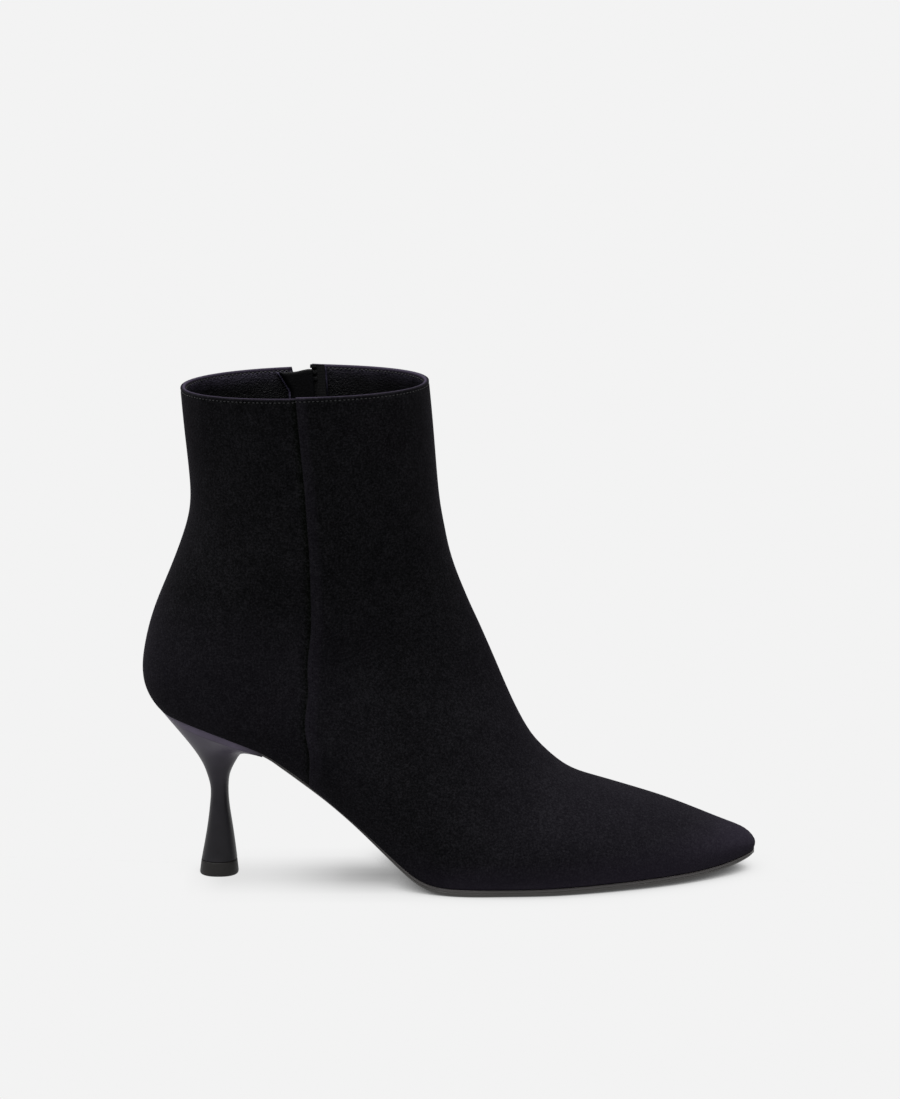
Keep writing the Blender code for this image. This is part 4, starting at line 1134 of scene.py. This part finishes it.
def make_tape_end(tape):
    """The zip's tape beside the notch, on the inside of the front panel, with the last of its teeth."""
    columns, rows = TAPE_END_GRID
    drops = np.linspace(TAPE_END["top"], TAPE_END["low"], rows)
    offsets = np.linspace(TAPE_END["from"], TAPE_END["to"], columns)
    zip_strip("zip_tape_end", offsets, TAPE_END["face"], TAPE_END["back"], drops, tape, "zip_tape")
    tooth = box_points(TAPE_END_TOOTH, TAPE_END_TOOTH_BEVEL)
    drops = TAPE_END_TOOTH_TOP + TAPE_END_PITCH * np.arange(TAPE_END_TEETH)
    offsets = np.full((1, TAPE_END_TEETH), TAPE_END["from"] + TAPE_END_TOOTH_ASIDE)
    spots, normals = zip_surface(offsets, drops)
    turn = zip_frame(SLIDER_DROP)
    spots = spots[0] - normals[0] * TAPE_END_TOOTH_DEPTH
    teeth = [in_frame({**turn, "spot": spot}, tooth) for spot in spots]
    add_piece("zip_tape_end_teeth", *merged(teeth), tape, "zip_tape", sharp=30)


BINDING = {"at": 9.9, "half": 0.34, "top": 0.4, "low": 30.0, "face": -WALL - 0.1}
BINDING_ROWS = 24
BINDING_ROLL = ((-1.0, -0.55), (-0.6, -0.85), (0.0, -1.0), (0.6, -0.85), (1.0, -0.55))
# painted highlight along the folded edge, strong near the top and fading out lower down, where it lies in
# shade
BINDING_PAINTED_HIGHLIGHT = ((0.0, 34.0), (6.0, 26.0), (10.0, 6.0), (16.0, 0.0))


def make_binding(material):
    """The folded edge of the front lining beside the tape."""
    drops = np.linspace(BINDING["top"], BINDING["low"], BINDING_ROWS)
    shares, rises = np.array(BINDING_ROLL).T
    offsets = BINDING["at"] + shares * BINDING["half"]
    face = BINDING["face"]
    obj = zip_strip("lining_binding", offsets, face, face + rises, drops, material, "lining")
    set_tone(obj, np.tile(profile(BINDING_PAINTED_HIGHLIGHT, drops), 2 * len(offsets)))


# The flap: its back edge by distance below the collar, then columns, face and painted highlight by distance
# from that edge, and how much thinner it is near any edge
GUARD_BACK = ((0.0, -12.0), (9.5, -6.6))
GUARD_FRONT = 4.5
GUARD_CLOSE = (0.0, 0.2, 0.5, 0.8, 0.95, 1.2, 1.6, 2.4)
GUARD_SHARES = (0.1, 0.2, 0.3, 0.4, 0.5, 0.6, 0.7, 0.8, 0.88, 0.94, 0.98, 1.0)
GUARD_STEP = ((0.0, -2.0), (0.9, -2.1), (1.6, -3.1), (2.4, -3.7))
GUARD_THICK = 1.1
GUARD_TOP_DROP = 1.7
GUARD_TOP_STEPS = (0.0, 0.2, 0.7, 1.5)
GUARD_ROWS_FROM = 4.0
GUARD_ROWS = 70
GUARD_END_EXTRA = 0.02
GUARD_EDGE = ((0.0, 0.42), (0.2, 0.15), (0.7, 0.0))
# painted highlight along the flap's back edge, where its cut edge catches the light
GUARD_PAINTED_HIGHLIGHT = ((0.0, 36.0), (0.8, 34.0), (0.95, 0.0))


def make_guard(material):
    """The flap behind the zip, sewn to the wall behind the slit and free in front of it."""
    end = (ZIP_END_SHARE + GUARD_END_EXTRA) * ZIP_LENGTH
    top = GUARD_TOP_DROP + np.array(GUARD_TOP_STEPS)
    drops = np.concatenate([top, np.linspace(GUARD_ROWS_FROM, end, GUARD_ROWS)])
    back = profile(GUARD_BACK, drops)
    close = back + np.array(GUARD_CLOSE)[:, None]
    rest = close[-1] + (GUARD_FRONT - close[-1]) * np.array(GUARD_SHARES)[:, None]
    offsets = np.concatenate([close, rest])
    face = profile(GUARD_STEP, offsets - back)
    from_edge = np.minimum(np.minimum(offsets - back, GUARD_FRONT - offsets), drops - GUARD_TOP_DROP)
    thin = profile(GUARD_EDGE, from_edge)
    inside = face - GUARD_THICK + thin
    obj = zip_strip("zip_guard_flap", offsets, face - thin, inside, drops, material, "lining", ["zip_guard"])
    tone = profile(GUARD_PAINTED_HIGHLIGHT, offsets - back)[::-1]
    set_tone(obj, [tone, tone])


def plate_outline(pairs, count=40):
    """A closed outline from half widths by height, the same on both sides."""
    heights, halves = np.array(pairs).T
    shares = (1 - np.cos(np.linspace(0.0, math.pi, count))) / 2
    v = heights[0] + (heights[-1] - heights[0]) * shares
    half = np.interp(v, heights, halves)
    right = np.stack([half, v], axis=1)
    left = np.stack([-half[::-1], v[::-1]], axis=1)
    return np.concatenate([right, left])


def plate(outline, levels):
    """A plate over an outline: levels are pairs of an inset and a height."""
    out = ring_normals(outline)
    rings = []
    for inset, height in levels:
        rings.append(np.column_stack([outline - out * inset, np.full(len(outline), height)]))
    return np.concatenate(rings), tube_faces(len(rings), len(outline))


def rings_round(section, sides):
    """Rings about x from a section of pairs of a radius and a place along x."""
    angle = np.linspace(0.0, 2 * math.pi, sides, endpoint=False)
    rings = [np.stack([np.full(sides, x), r * np.cos(angle), r * np.sin(angle)], axis=1) for r, x in section]
    return np.concatenate(rings)


# Ends of a rod: share of its half length and change of radius
ROD_ENDS = ((-1.0, -0.15), (-0.9, 0.0), (0.9, 0.0), (1.0, -0.15))
ROD_SIDES = 28


def rod(radius, length):
    """A rod along x with cut edges."""
    section = [(radius + change, share * length / 2) for share, change in ROD_ENDS]
    return rings_round(section, ROD_SIDES), tube_faces(len(section), ROD_SIDES)


def merged(parts):
    """Points and faces of several bodies as one list."""
    points, faces, start = [], [], 0
    for spots, sides in parts:
        points.append(spots)
        faces += [tuple(v + start for v in face) for face in sides]
        start += len(spots)
    return np.concatenate(points), faces


def in_frame(at, part, move=(0.0, 0.0, 0.0)):
    """A body given in a place's own directions, set there."""
    points, faces = part
    axes = np.array([at["across"], at["up"], at["out"]])
    return at["spot"] + (points + np.array(move)) @ axes, faces


SLIDER_OUTLINE = (
    (-5.0, 1.6), (-4.8, 2.3), (-4.2, 2.75), (-2.0, 2.95), (0.5, 3.35), (2.6, 3.68), (4.0, 3.6), (4.7, 3.1),
    (5.0, 2.3),
)
SLIDER_LEVELS = ((0.5, 0.0), (0.15, 0.1), (0.0, 0.35), (0.0, 0.95), (0.15, 1.2), (0.55, 1.3))
SLIDER_BACK_LEVELS = ((0.4, -3.1), (0.05, -3.0), (0.0, -2.7), (0.05, -2.2), (0.3, -2.1))
LUG_OUTLINE = (
    (-1.6, 1.9), (-0.9, 1.95), (0.0, 1.85), (1.2, 1.75), (2.1, 1.6), (2.8, 1.3), (3.3, 0.8), (3.5, 0.25),
)
LUG_POINTS = 24
LUG_LEVELS = ((0.2, -0.55), (0.0, -0.4), (0.0, 0.4), (0.2, 0.55))
LUG_OFF_MIDDLE = 2.6
LUG_OUT = GAP + 1.1
NECK_BOX = (2.2, 2.4, 3.4)
NECK_BEVEL = 0.25
NECK_AT = (0.0, 3.0, -0.8)
PIN_LENGTH = 5.6


def upright(part):
    """A plate turned so that its levels run across and its height runs out."""
    points, faces = part
    return points[:, [2, 0, 1]], faces


def make_slider(material):
    at = zip_frame(SLIDER_DROP)
    body = plate(plate_outline(SLIDER_OUTLINE), SLIDER_LEVELS)
    back = plate(plate_outline(SLIDER_OUTLINE), SLIDER_BACK_LEVELS)
    lug = upright(plate(plate_outline(LUG_OUTLINE, LUG_POINTS), LUG_LEVELS))
    parts = [in_frame(at, body, (0.0, 0.0, GAP)), in_frame(at, back)]
    parts.append(in_frame(at, box_points(NECK_BOX, NECK_BEVEL), NECK_AT))
    for sign in (-1, 1):
        parts.append(in_frame(at, lug, (sign * LUG_OFF_MIDDLE, PULL_AXIS_UP, LUG_OUT)))
    parts.append(in_frame(at, rod(PIN_RADIUS, PIN_LENGTH), (0.0, PULL_AXIS_UP, PULL_AXIS_OUT)))
    points, faces = merged(parts)
    add_piece("zip_slider_body", points, faces, material, "zip_metal", replaces=["zip_slider"], sharp=45)


EYE_RADIUS = 2.0
EYE_BORE = 1.1
EYE_WIDTH = 3.0
EYE_CUT = 0.3
EYE_BORE_CUT = 0.15
EYE_SIDES = 32
TAB_OUTLINE = (
    (-25.0, 0.9), (-24.7, 1.6), (-23.9, 2.2), (-22.6, 2.5), (-18.0, 2.35), (-11.0, 1.95), (-7.0, 1.7),
    (-5.0, 1.45), (-3.0, 1.3), (-1.7, 1.25),
)
TAB_POINTS = 60
TAB_LEVELS = ((0.28, -0.7), (0.06, -0.6), (0.0, -0.4), (0.0, 0.4), (0.06, 0.6), (0.28, 0.7))


def eye_body():
    """The pull's eye: a short tube along x with cut edges."""
    half = EYE_WIDTH / 2
    right = [(EYE_RADIUS, half - EYE_CUT), (EYE_RADIUS - EYE_CUT, half)]
    right += [(EYE_BORE + EYE_BORE_CUT, half), (EYE_BORE, half - EYE_BORE_CUT)]
    section = [(r, -x) for r, x in right[::-1]] + right
    faces = tube_faces(len(section), EYE_SIDES, capped=False)
    last = (len(section) - 1) * EYE_SIDES
    for i in range(EYE_SIDES):
        j = (i + 1) % EYE_SIDES
        faces.append((last + i, last + j, j, i))
    return rings_round(section, EYE_SIDES), faces


def make_pull(material):
    at = zip_frame(SLIDER_DROP)
    axis = at["spot"] + at["up"] * PULL_AXIS_UP + at["out"] * PULL_AXIS_OUT
    up = np.array([0.0, 0.0, 1.0])
    hanging = {"spot": axis, "across": at["across"], "up": up, "out": np.cross(at["across"], up)}
    tab = plate(plate_outline(TAB_OUTLINE, TAB_POINTS), TAB_LEVELS)
    points, faces = merged([in_frame(hanging, eye_body()), in_frame(hanging, tab)])
    add_piece("zip_pull_tab", points, faces, material, "zip_metal", "pull", ["zip_pull"], sharp=45)


def add_node(tree, kind, inputs=(), **settings):
    """A node with its settings, and with its inputs set to values or linked to other nodes' outputs."""
    node = tree.nodes.new("ShaderNode" + kind)
    for name, value in settings.items():
        setattr(node, name, value)
    for key, value in dict(inputs).items():
        if isinstance(value, bpy.types.NodeSocket):
            tree.links.new(value, node.inputs[key])
        else:
            node.inputs[key].default_value = value
    return node


def new_material(name, colour, roughness, metallic=0.0, specular=0.5, sheen=0.0):
    """A Principled material with its plain values set on the shader."""
    material = bpy.data.materials.new(name)
    material.use_nodes = True
    shader = material.node_tree.nodes["Principled BSDF"]
    values = {"Roughness": roughness, "Metallic": metallic}
    values |= {"Specular IOR Level": specular, "Sheen Weight": sheen}
    for socket, value in values.items():
        shader.inputs[socket].default_value = value
    shader.inputs["Base Color"].default_value = (*colour, 1.0)
    material.diffuse_color = (*colour, 1.0)
    return material, material.node_tree, shader


def own_place(tree):
    """The boot's own coordinates."""
    return add_node(tree, "TexCoord").outputs["Object"]


def add_noise(tree, scale, detail=4.0, rough=0.5, stretch=(1.0, 1.0, 1.0)):
    """A noise over the boot's own coordinates, in features per metre."""
    place = add_node(tree, "Mapping", {"Vector": own_place(tree), "Scale": stretch}).outputs["Vector"]
    values = {"Vector": place, "Scale": scale, "Detail": detail, "Roughness": rough}
    return add_node(tree, "TexNoise", values).outputs["Fac"]


def add_ramp(tree, value, stops):
    """A colour or grey by value: stops are pairs of a place and a colour."""
    ramp = add_node(tree, "ValToRGB", {"Fac": value})
    elements = ramp.color_ramp.elements
    while len(elements) < len(stops):
        elements.new(0.5)
    for element, (place, colour) in zip(elements, stops):
        element.position = place
        element.color = (*colour, 1.0)
    return ramp.outputs["Color"]


def add_math(tree, operation, a, b=0.0):
    return add_node(tree, "Math", {0: a, 1: b}, operation=operation).outputs[0]


def add_vector_math(tree, operation, *values):
    return add_node(tree, "VectorMath", enumerate(values), operation=operation).outputs[0]


def add_mix(tree, values, weights):
    """The sum of named values by their weights."""
    scaled = [add_math(tree, "MULTIPLY", values[name], weight) for name, weight in weights.items()]
    total = scaled[0]
    for value in scaled[1:]:
        total = add_math(tree, "ADD", total, value)
    return total


def add_bump(tree, shader, height, strength, distance):
    bump = add_node(tree, "Bump", {"Height": height, "Strength": strength, "Distance": distance})
    tree.links.new(bump.outputs["Normal"], shader.inputs["Normal"])


def grey(value):
    return (value,) * 3


def shades_of(colour, shades):
    """Stops of a ramp: shades are pairs of a place and a share of the colour's strength."""
    return [(place, tuple(v * share for v in colour)) for place, share in shades]


# Share of colour that a step of tone brings, mostly painted light and shade, and the cool colour that a step
# of the painted light and shade adds to the suede
TONE_GAIN = (0.80, 0.70, 0.90)
SUEDE_PAINTED_LIGHT_STEP = (0.0026, 0.0021, 0.0034)


def point_tone(tree):
    """The painted light and shade, and any own tone, kept with the points."""
    return add_node(tree, "Attribute", attribute_name="tone").outputs["Fac"]


def add_even_tone(tree, colour, step):
    """The colour with a step of colour added or taken away by the painted light and shade kept with the
    points.
    """
    total = add_vector_math(tree, "MULTIPLY_ADD", point_tone(tree), step, colour)
    return add_vector_math(tree, "MAXIMUM", total, grey(0.0))


def add_tone(tree, colour):
    """The colour made lighter or darker by the tone kept with the points, mostly painted light and shade, a
    little cooler when lighter.
    """
    gain = add_vector_math(tree, "MULTIPLY_ADD", point_tone(tree), TONE_GAIN, grey(1.0))
    return add_vector_math(tree, "MULTIPLY", colour, gain)


# Suede: its colour and sheen, its noises by features per metre, detail and roughness, and how they mix
SUEDE_COLOUR = (0.0033, 0.0032, 0.0037)
SUEDE_STOPS = (
    (0.37, (0.0006, 0.0006, 0.0007)), (0.50, (0.0027, 0.0027, 0.0031)), (0.63, (0.0074, 0.0072, 0.0084)),
)
SHEEN_ROUGHNESS = 0.5
SHEEN_TINT = (0.88, 0.78, 1.0, 1.0)
SUEDE_NOISES = {
    "patches": (45.0, 3.0, 0.5),
    "brushed": (260.0, 2.0, 0.5),
    "nap": (1200.0, 3.0, 0.7),
    "fine": (3200.0, 2.0, 0.6),
}
SUEDE_TONE_MIX = {"patches": 0.14, "brushed": 0.12, "nap": 0.74}
SUEDE_HEIGHT_MIX = {"nap": 0.6, "fine": 0.4}
SUEDE_BUMP = (0.5, 0.0005)


def make_suede_material():
    material, tree, shader = new_material("black_suede", SUEDE_COLOUR, 0.95, specular=0.03, sheen=0.013)
    shader.inputs["Sheen Roughness"].default_value = SHEEN_ROUGHNESS
    shader.inputs["Sheen Tint"].default_value = SHEEN_TINT
    noises = {name: add_noise(tree, *values) for name, values in SUEDE_NOISES.items()}
    colour = add_ramp(tree, add_mix(tree, noises, SUEDE_TONE_MIX), SUEDE_STOPS)
    tree.links.new(add_even_tone(tree, colour, SUEDE_PAINTED_LIGHT_STEP), shader.inputs["Base Color"])
    add_bump(tree, shader, add_mix(tree, noises, SUEDE_HEIGHT_MIX), *SUEDE_BUMP)
    return material


# Leather: its wrinkles beside the grain, its patches, how they mix, and the shades of its colour
WRINKLE_SHARE = 0.8
LEATHER_PATCHES = 120.0
LEATHER_MIX = {"patches": 0.4, "wrinkle": 0.6}
LEATHER_SHADES = ((0.38, 0.3), (0.62, 2.0))
LEATHER_BUMP = 0.0004


def make_leather_material(name, colour, roughness, grain, depth, specular):
    """Smooth leather with a fine pebbled grain."""
    material, tree, shader = new_material(name, colour, roughness, specular=specular)
    cells = add_node(tree, "TexVoronoi", {"Vector": own_place(tree), "Scale": grain})
    wrinkle = add_noise(tree, grain * WRINKLE_SHARE, 4.0, 0.6)
    patches = add_noise(tree, LEATHER_PATCHES, 3.0)
    tone = add_mix(tree, {"patches": patches, "wrinkle": wrinkle}, LEATHER_MIX)
    shade = add_ramp(tree, tone, shades_of(colour, LEATHER_SHADES))
    tree.links.new(add_tone(tree, shade), shader.inputs["Base Color"])
    height = add_math(tree, "ADD", cells.outputs["Distance"], wrinkle)
    add_bump(tree, shader, height, depth, LEATHER_BUMP)
    return material


SMOOTH_SHADES = ((0.3, 0.85), (0.7, 1.18))
SMOOTH_BUMP = (0.05, 0.0002)


def make_smooth_material(name, colour, roughness, spread, scale, stretch=(1.0, 1.0, 1.0), **values):
    """A smooth finish whose gloss and tone vary a little."""
    material, tree, shader = new_material(name, colour, roughness, **values)
    noise = add_noise(tree, scale, 4.0, 0.6, stretch)
    (low, _), (high, _) = SMOOTH_SHADES
    gloss = add_ramp(tree, noise, [(low, grey(roughness - spread)), (high, grey(roughness + spread))])
    tree.links.new(gloss, shader.inputs["Roughness"])
    shade = add_ramp(tree, noise, shades_of(colour, SMOOTH_SHADES))
    tree.links.new(add_tone(tree, shade), shader.inputs["Base Color"])
    add_bump(tree, shader, noise, *SMOOTH_BUMP)
    return material


TAPE_COLOUR = (0.004, 0.004, 0.0044)
TAPE_STOPS = ((0.1, (0.0016, 0.0016, 0.0018)), (0.9, (0.0068, 0.0067, 0.0074)))
TAPE_WAVE = {"Scale": 500.0, "Distortion": 0.6}
TAPE_BUMP = (0.4, 0.0003)


def make_tape_material():
    """Woven tape: a fine twill by two crossed waves."""
    material, tree, shader = new_material("zip_tape_weave", TAPE_COLOUR, 0.85, specular=0.15)
    waves = []
    for direction in ("X", "Z"):
        values = {**TAPE_WAVE, "Vector": own_place(tree)}
        waves.append(add_node(tree, "TexWave", values, bands_direction=direction).outputs["Fac"])
    height = add_math(tree, "MULTIPLY", *waves)
    tree.links.new(add_ramp(tree, height, TAPE_STOPS), shader.inputs["Base Color"])
    add_bump(tree, shader, height, *TAPE_BUMP)
    return material


THREAD_COLOUR = (0.016, 0.016, 0.018)
THREAD_STOPS = ((0.3, (0.005, 0.005, 0.0058)), (0.7, (0.011, 0.011, 0.0125)))
THREAD_TWIST = (5000.0, 2.0)
THREAD_BUMP = (0.3, 0.0002)


def make_thread_material():
    material, tree, shader = new_material("thread", THREAD_COLOUR, 0.7, specular=0.3, sheen=0.1)
    twist = add_noise(tree, *THREAD_TWIST)
    tree.links.new(add_ramp(tree, twist, THREAD_STOPS), shader.inputs["Base Color"])
    add_bump(tree, shader, twist, *THREAD_BUMP)
    return material


def add_profile(tree, value, pairs):
    """A profile of pairs read by a shader value."""
    first, last = pairs[0][0], pairs[-1][0]
    share = add_math(tree, "DIVIDE", add_math(tree, "SUBTRACT", value, first), last - first)
    return add_ramp(tree, share, [((at - first) / (last - first), grey(depth)) for at, depth in pairs])


def add_arch_shade(tree):
    """Light left on the floor under the arch."""
    place = add_node(tree, "NewGeometry").outputs["Position"]
    parts = add_node(tree, "SeparateXYZ", {0: place}).outputs
    x, y = (add_math(tree, "MULTIPLY", parts[k], 1 / MM) for k in (0, 1))
    x = add_math(tree, "SUBTRACT", x, float(SHIFT[0]))
    aside = add_math(tree, "ABSOLUTE", add_math(tree, "SUBTRACT", y, ARCH_SHADE_Y + float(SHIFT[1])))
    depth, fade = add_profile(tree, x, ARCH_SHADE_ALONG), add_profile(tree, aside, ARCH_SHADE_ASIDE)
    return add_math(tree, "SUBTRACT", 1.0, add_math(tree, "MULTIPLY", depth, fade))


def make_stage():
    """Pale floor, even light from all round and one soft light from above."""
    mesh = bpy.data.meshes.new("floor")
    turns = np.linspace(0, 2 * math.pi, FLOOR_SIDES, endpoint=False)
    ring = [(FLOOR_RADIUS * math.cos(turn), FLOOR_RADIUS * math.sin(turn), 0.0) for turn in turns]
    mesh.from_pydata(ring, [], [tuple(range(FLOOR_SIDES))])
    floor = bpy.data.objects.new("floor", mesh)
    material = bpy.data.materials.new("floor_paper")
    material.use_nodes = True
    tree = material.node_tree
    tree.nodes.remove(tree.nodes["Principled BSDF"])
    front = add_node(tree, "CombineXYZ", enumerate(SHADE_FROM)).outputs[0]
    shade = add_node(tree, "AmbientOcclusion", {"Distance": SHADE_REACH, "Normal": front}).outputs["AO"]
    near = add_ramp(tree, shade, [(place, grey(value)) for place, value in SHADE_STOPS])
    colour = add_math(tree, "MINIMUM", near, add_arch_shade(tree))
    glow = add_node(tree, "Emission", {"Strength": FLOOR_LIGHT, "Color": colour})
    tree.links.new(glow.outputs[0], tree.nodes["Material Output"].inputs["Surface"])
    mesh.materials.append(material)
    bpy.context.scene.collection.objects.link(floor)
    world = bpy.data.worlds.new("studio")
    world.use_nodes = True
    background = world.node_tree.nodes["Background"]
    background.inputs["Color"].default_value = (1.0, 1.0, 1.0, 1.0)
    background.inputs["Strength"].default_value = WORLD_LIGHT
    bpy.context.scene.world = world
    sun = bpy.data.lights.new("key", "SUN")
    sun.energy = KEY_LIGHT
    sun.angle = math.radians(KEY_ANGLE)
    key = bpy.data.objects.new("key", sun)
    key.rotation_euler = (*(math.radians(turn) for turn in KEY_TILT), 0.0)
    bpy.context.scene.collection.objects.link(key)


def make_camera():
    data = bpy.data.cameras.new("camera")
    data.lens = CAMERA_LENS
    data.shift_x, data.shift_y = CAMERA_SHIFT
    camera = bpy.data.objects.new("camera", data)
    tilt = math.radians(CAMERA_ELEVATION)
    away = Vector((0.0, -math.cos(tilt), math.sin(tilt))) * CAMERA_DISTANCE
    camera.location = Vector(CAMERA_TARGET) + away
    camera.rotation_euler = (math.pi / 2 - tilt, 0.0, 0.0)
    bpy.context.scene.collection.objects.link(camera)
    bpy.context.scene.camera = camera


# Leathers: colour, roughness, grain in features per metre, depth of the grain and gloss
LINING = ((0.0010, 0.0010, 0.0012), 0.5, 1500.0, 0.6, 0.12)
FLAP = ((0.0009, 0.0009, 0.0012), 0.55, 1400.0, 0.15, 0.1)

# Smooth finishes: colour, roughness and its spread, and marks per metre
SOLE_FINISH = ((0.033, 0.030, 0.0285), 0.42, 0.08, 120.0, (1.0, 1.0, 6.0))
LACQUER_FINISH = ((0.0136, 0.0125, 0.0156), 0.44, 0.04, 160.0)
RUBBER_FINISH = ((0.0125, 0.0115, 0.0111), 0.55, 0.08, 900.0)
METAL_FINISH = ((0.05, 0.05, 0.052), 0.3, 0.06, 700.0)


def main():
    suede = make_suede_material()
    lining = make_leather_material("lining_leather", *LINING)
    flap = make_leather_material("guard_leather", *FLAP)
    sole = make_smooth_material("sole_edge", *SOLE_FINISH)
    lacquer = make_smooth_material("heel_lacquer_satin", *LACQUER_FINISH, specular=0.16)
    rubber = make_smooth_material("lift_rubber_matt", *RUBBER_FINISH, specular=0.22)
    metal = make_smooth_material("dark_enamel", *METAL_FINISH, metallic=1.0)
    tape = make_tape_material()
    thread = make_thread_material()
    outside = make_suede(suede)
    make_lining(lining)
    make_stitches(outside, thread, suede)
    make_outsole(sole)
    make_insole(lining)
    make_heel(lacquer)
    make_top_lift(rubber)
    make_zip(tape, metal)
    make_tape_end(tape)
    make_binding(flap)
    make_guard(flap)
    make_slider(metal)
    make_pull(metal)
    make_stage()
    make_camera()


main()
bpy.context.scene.view_settings.view_transform = "Standard"
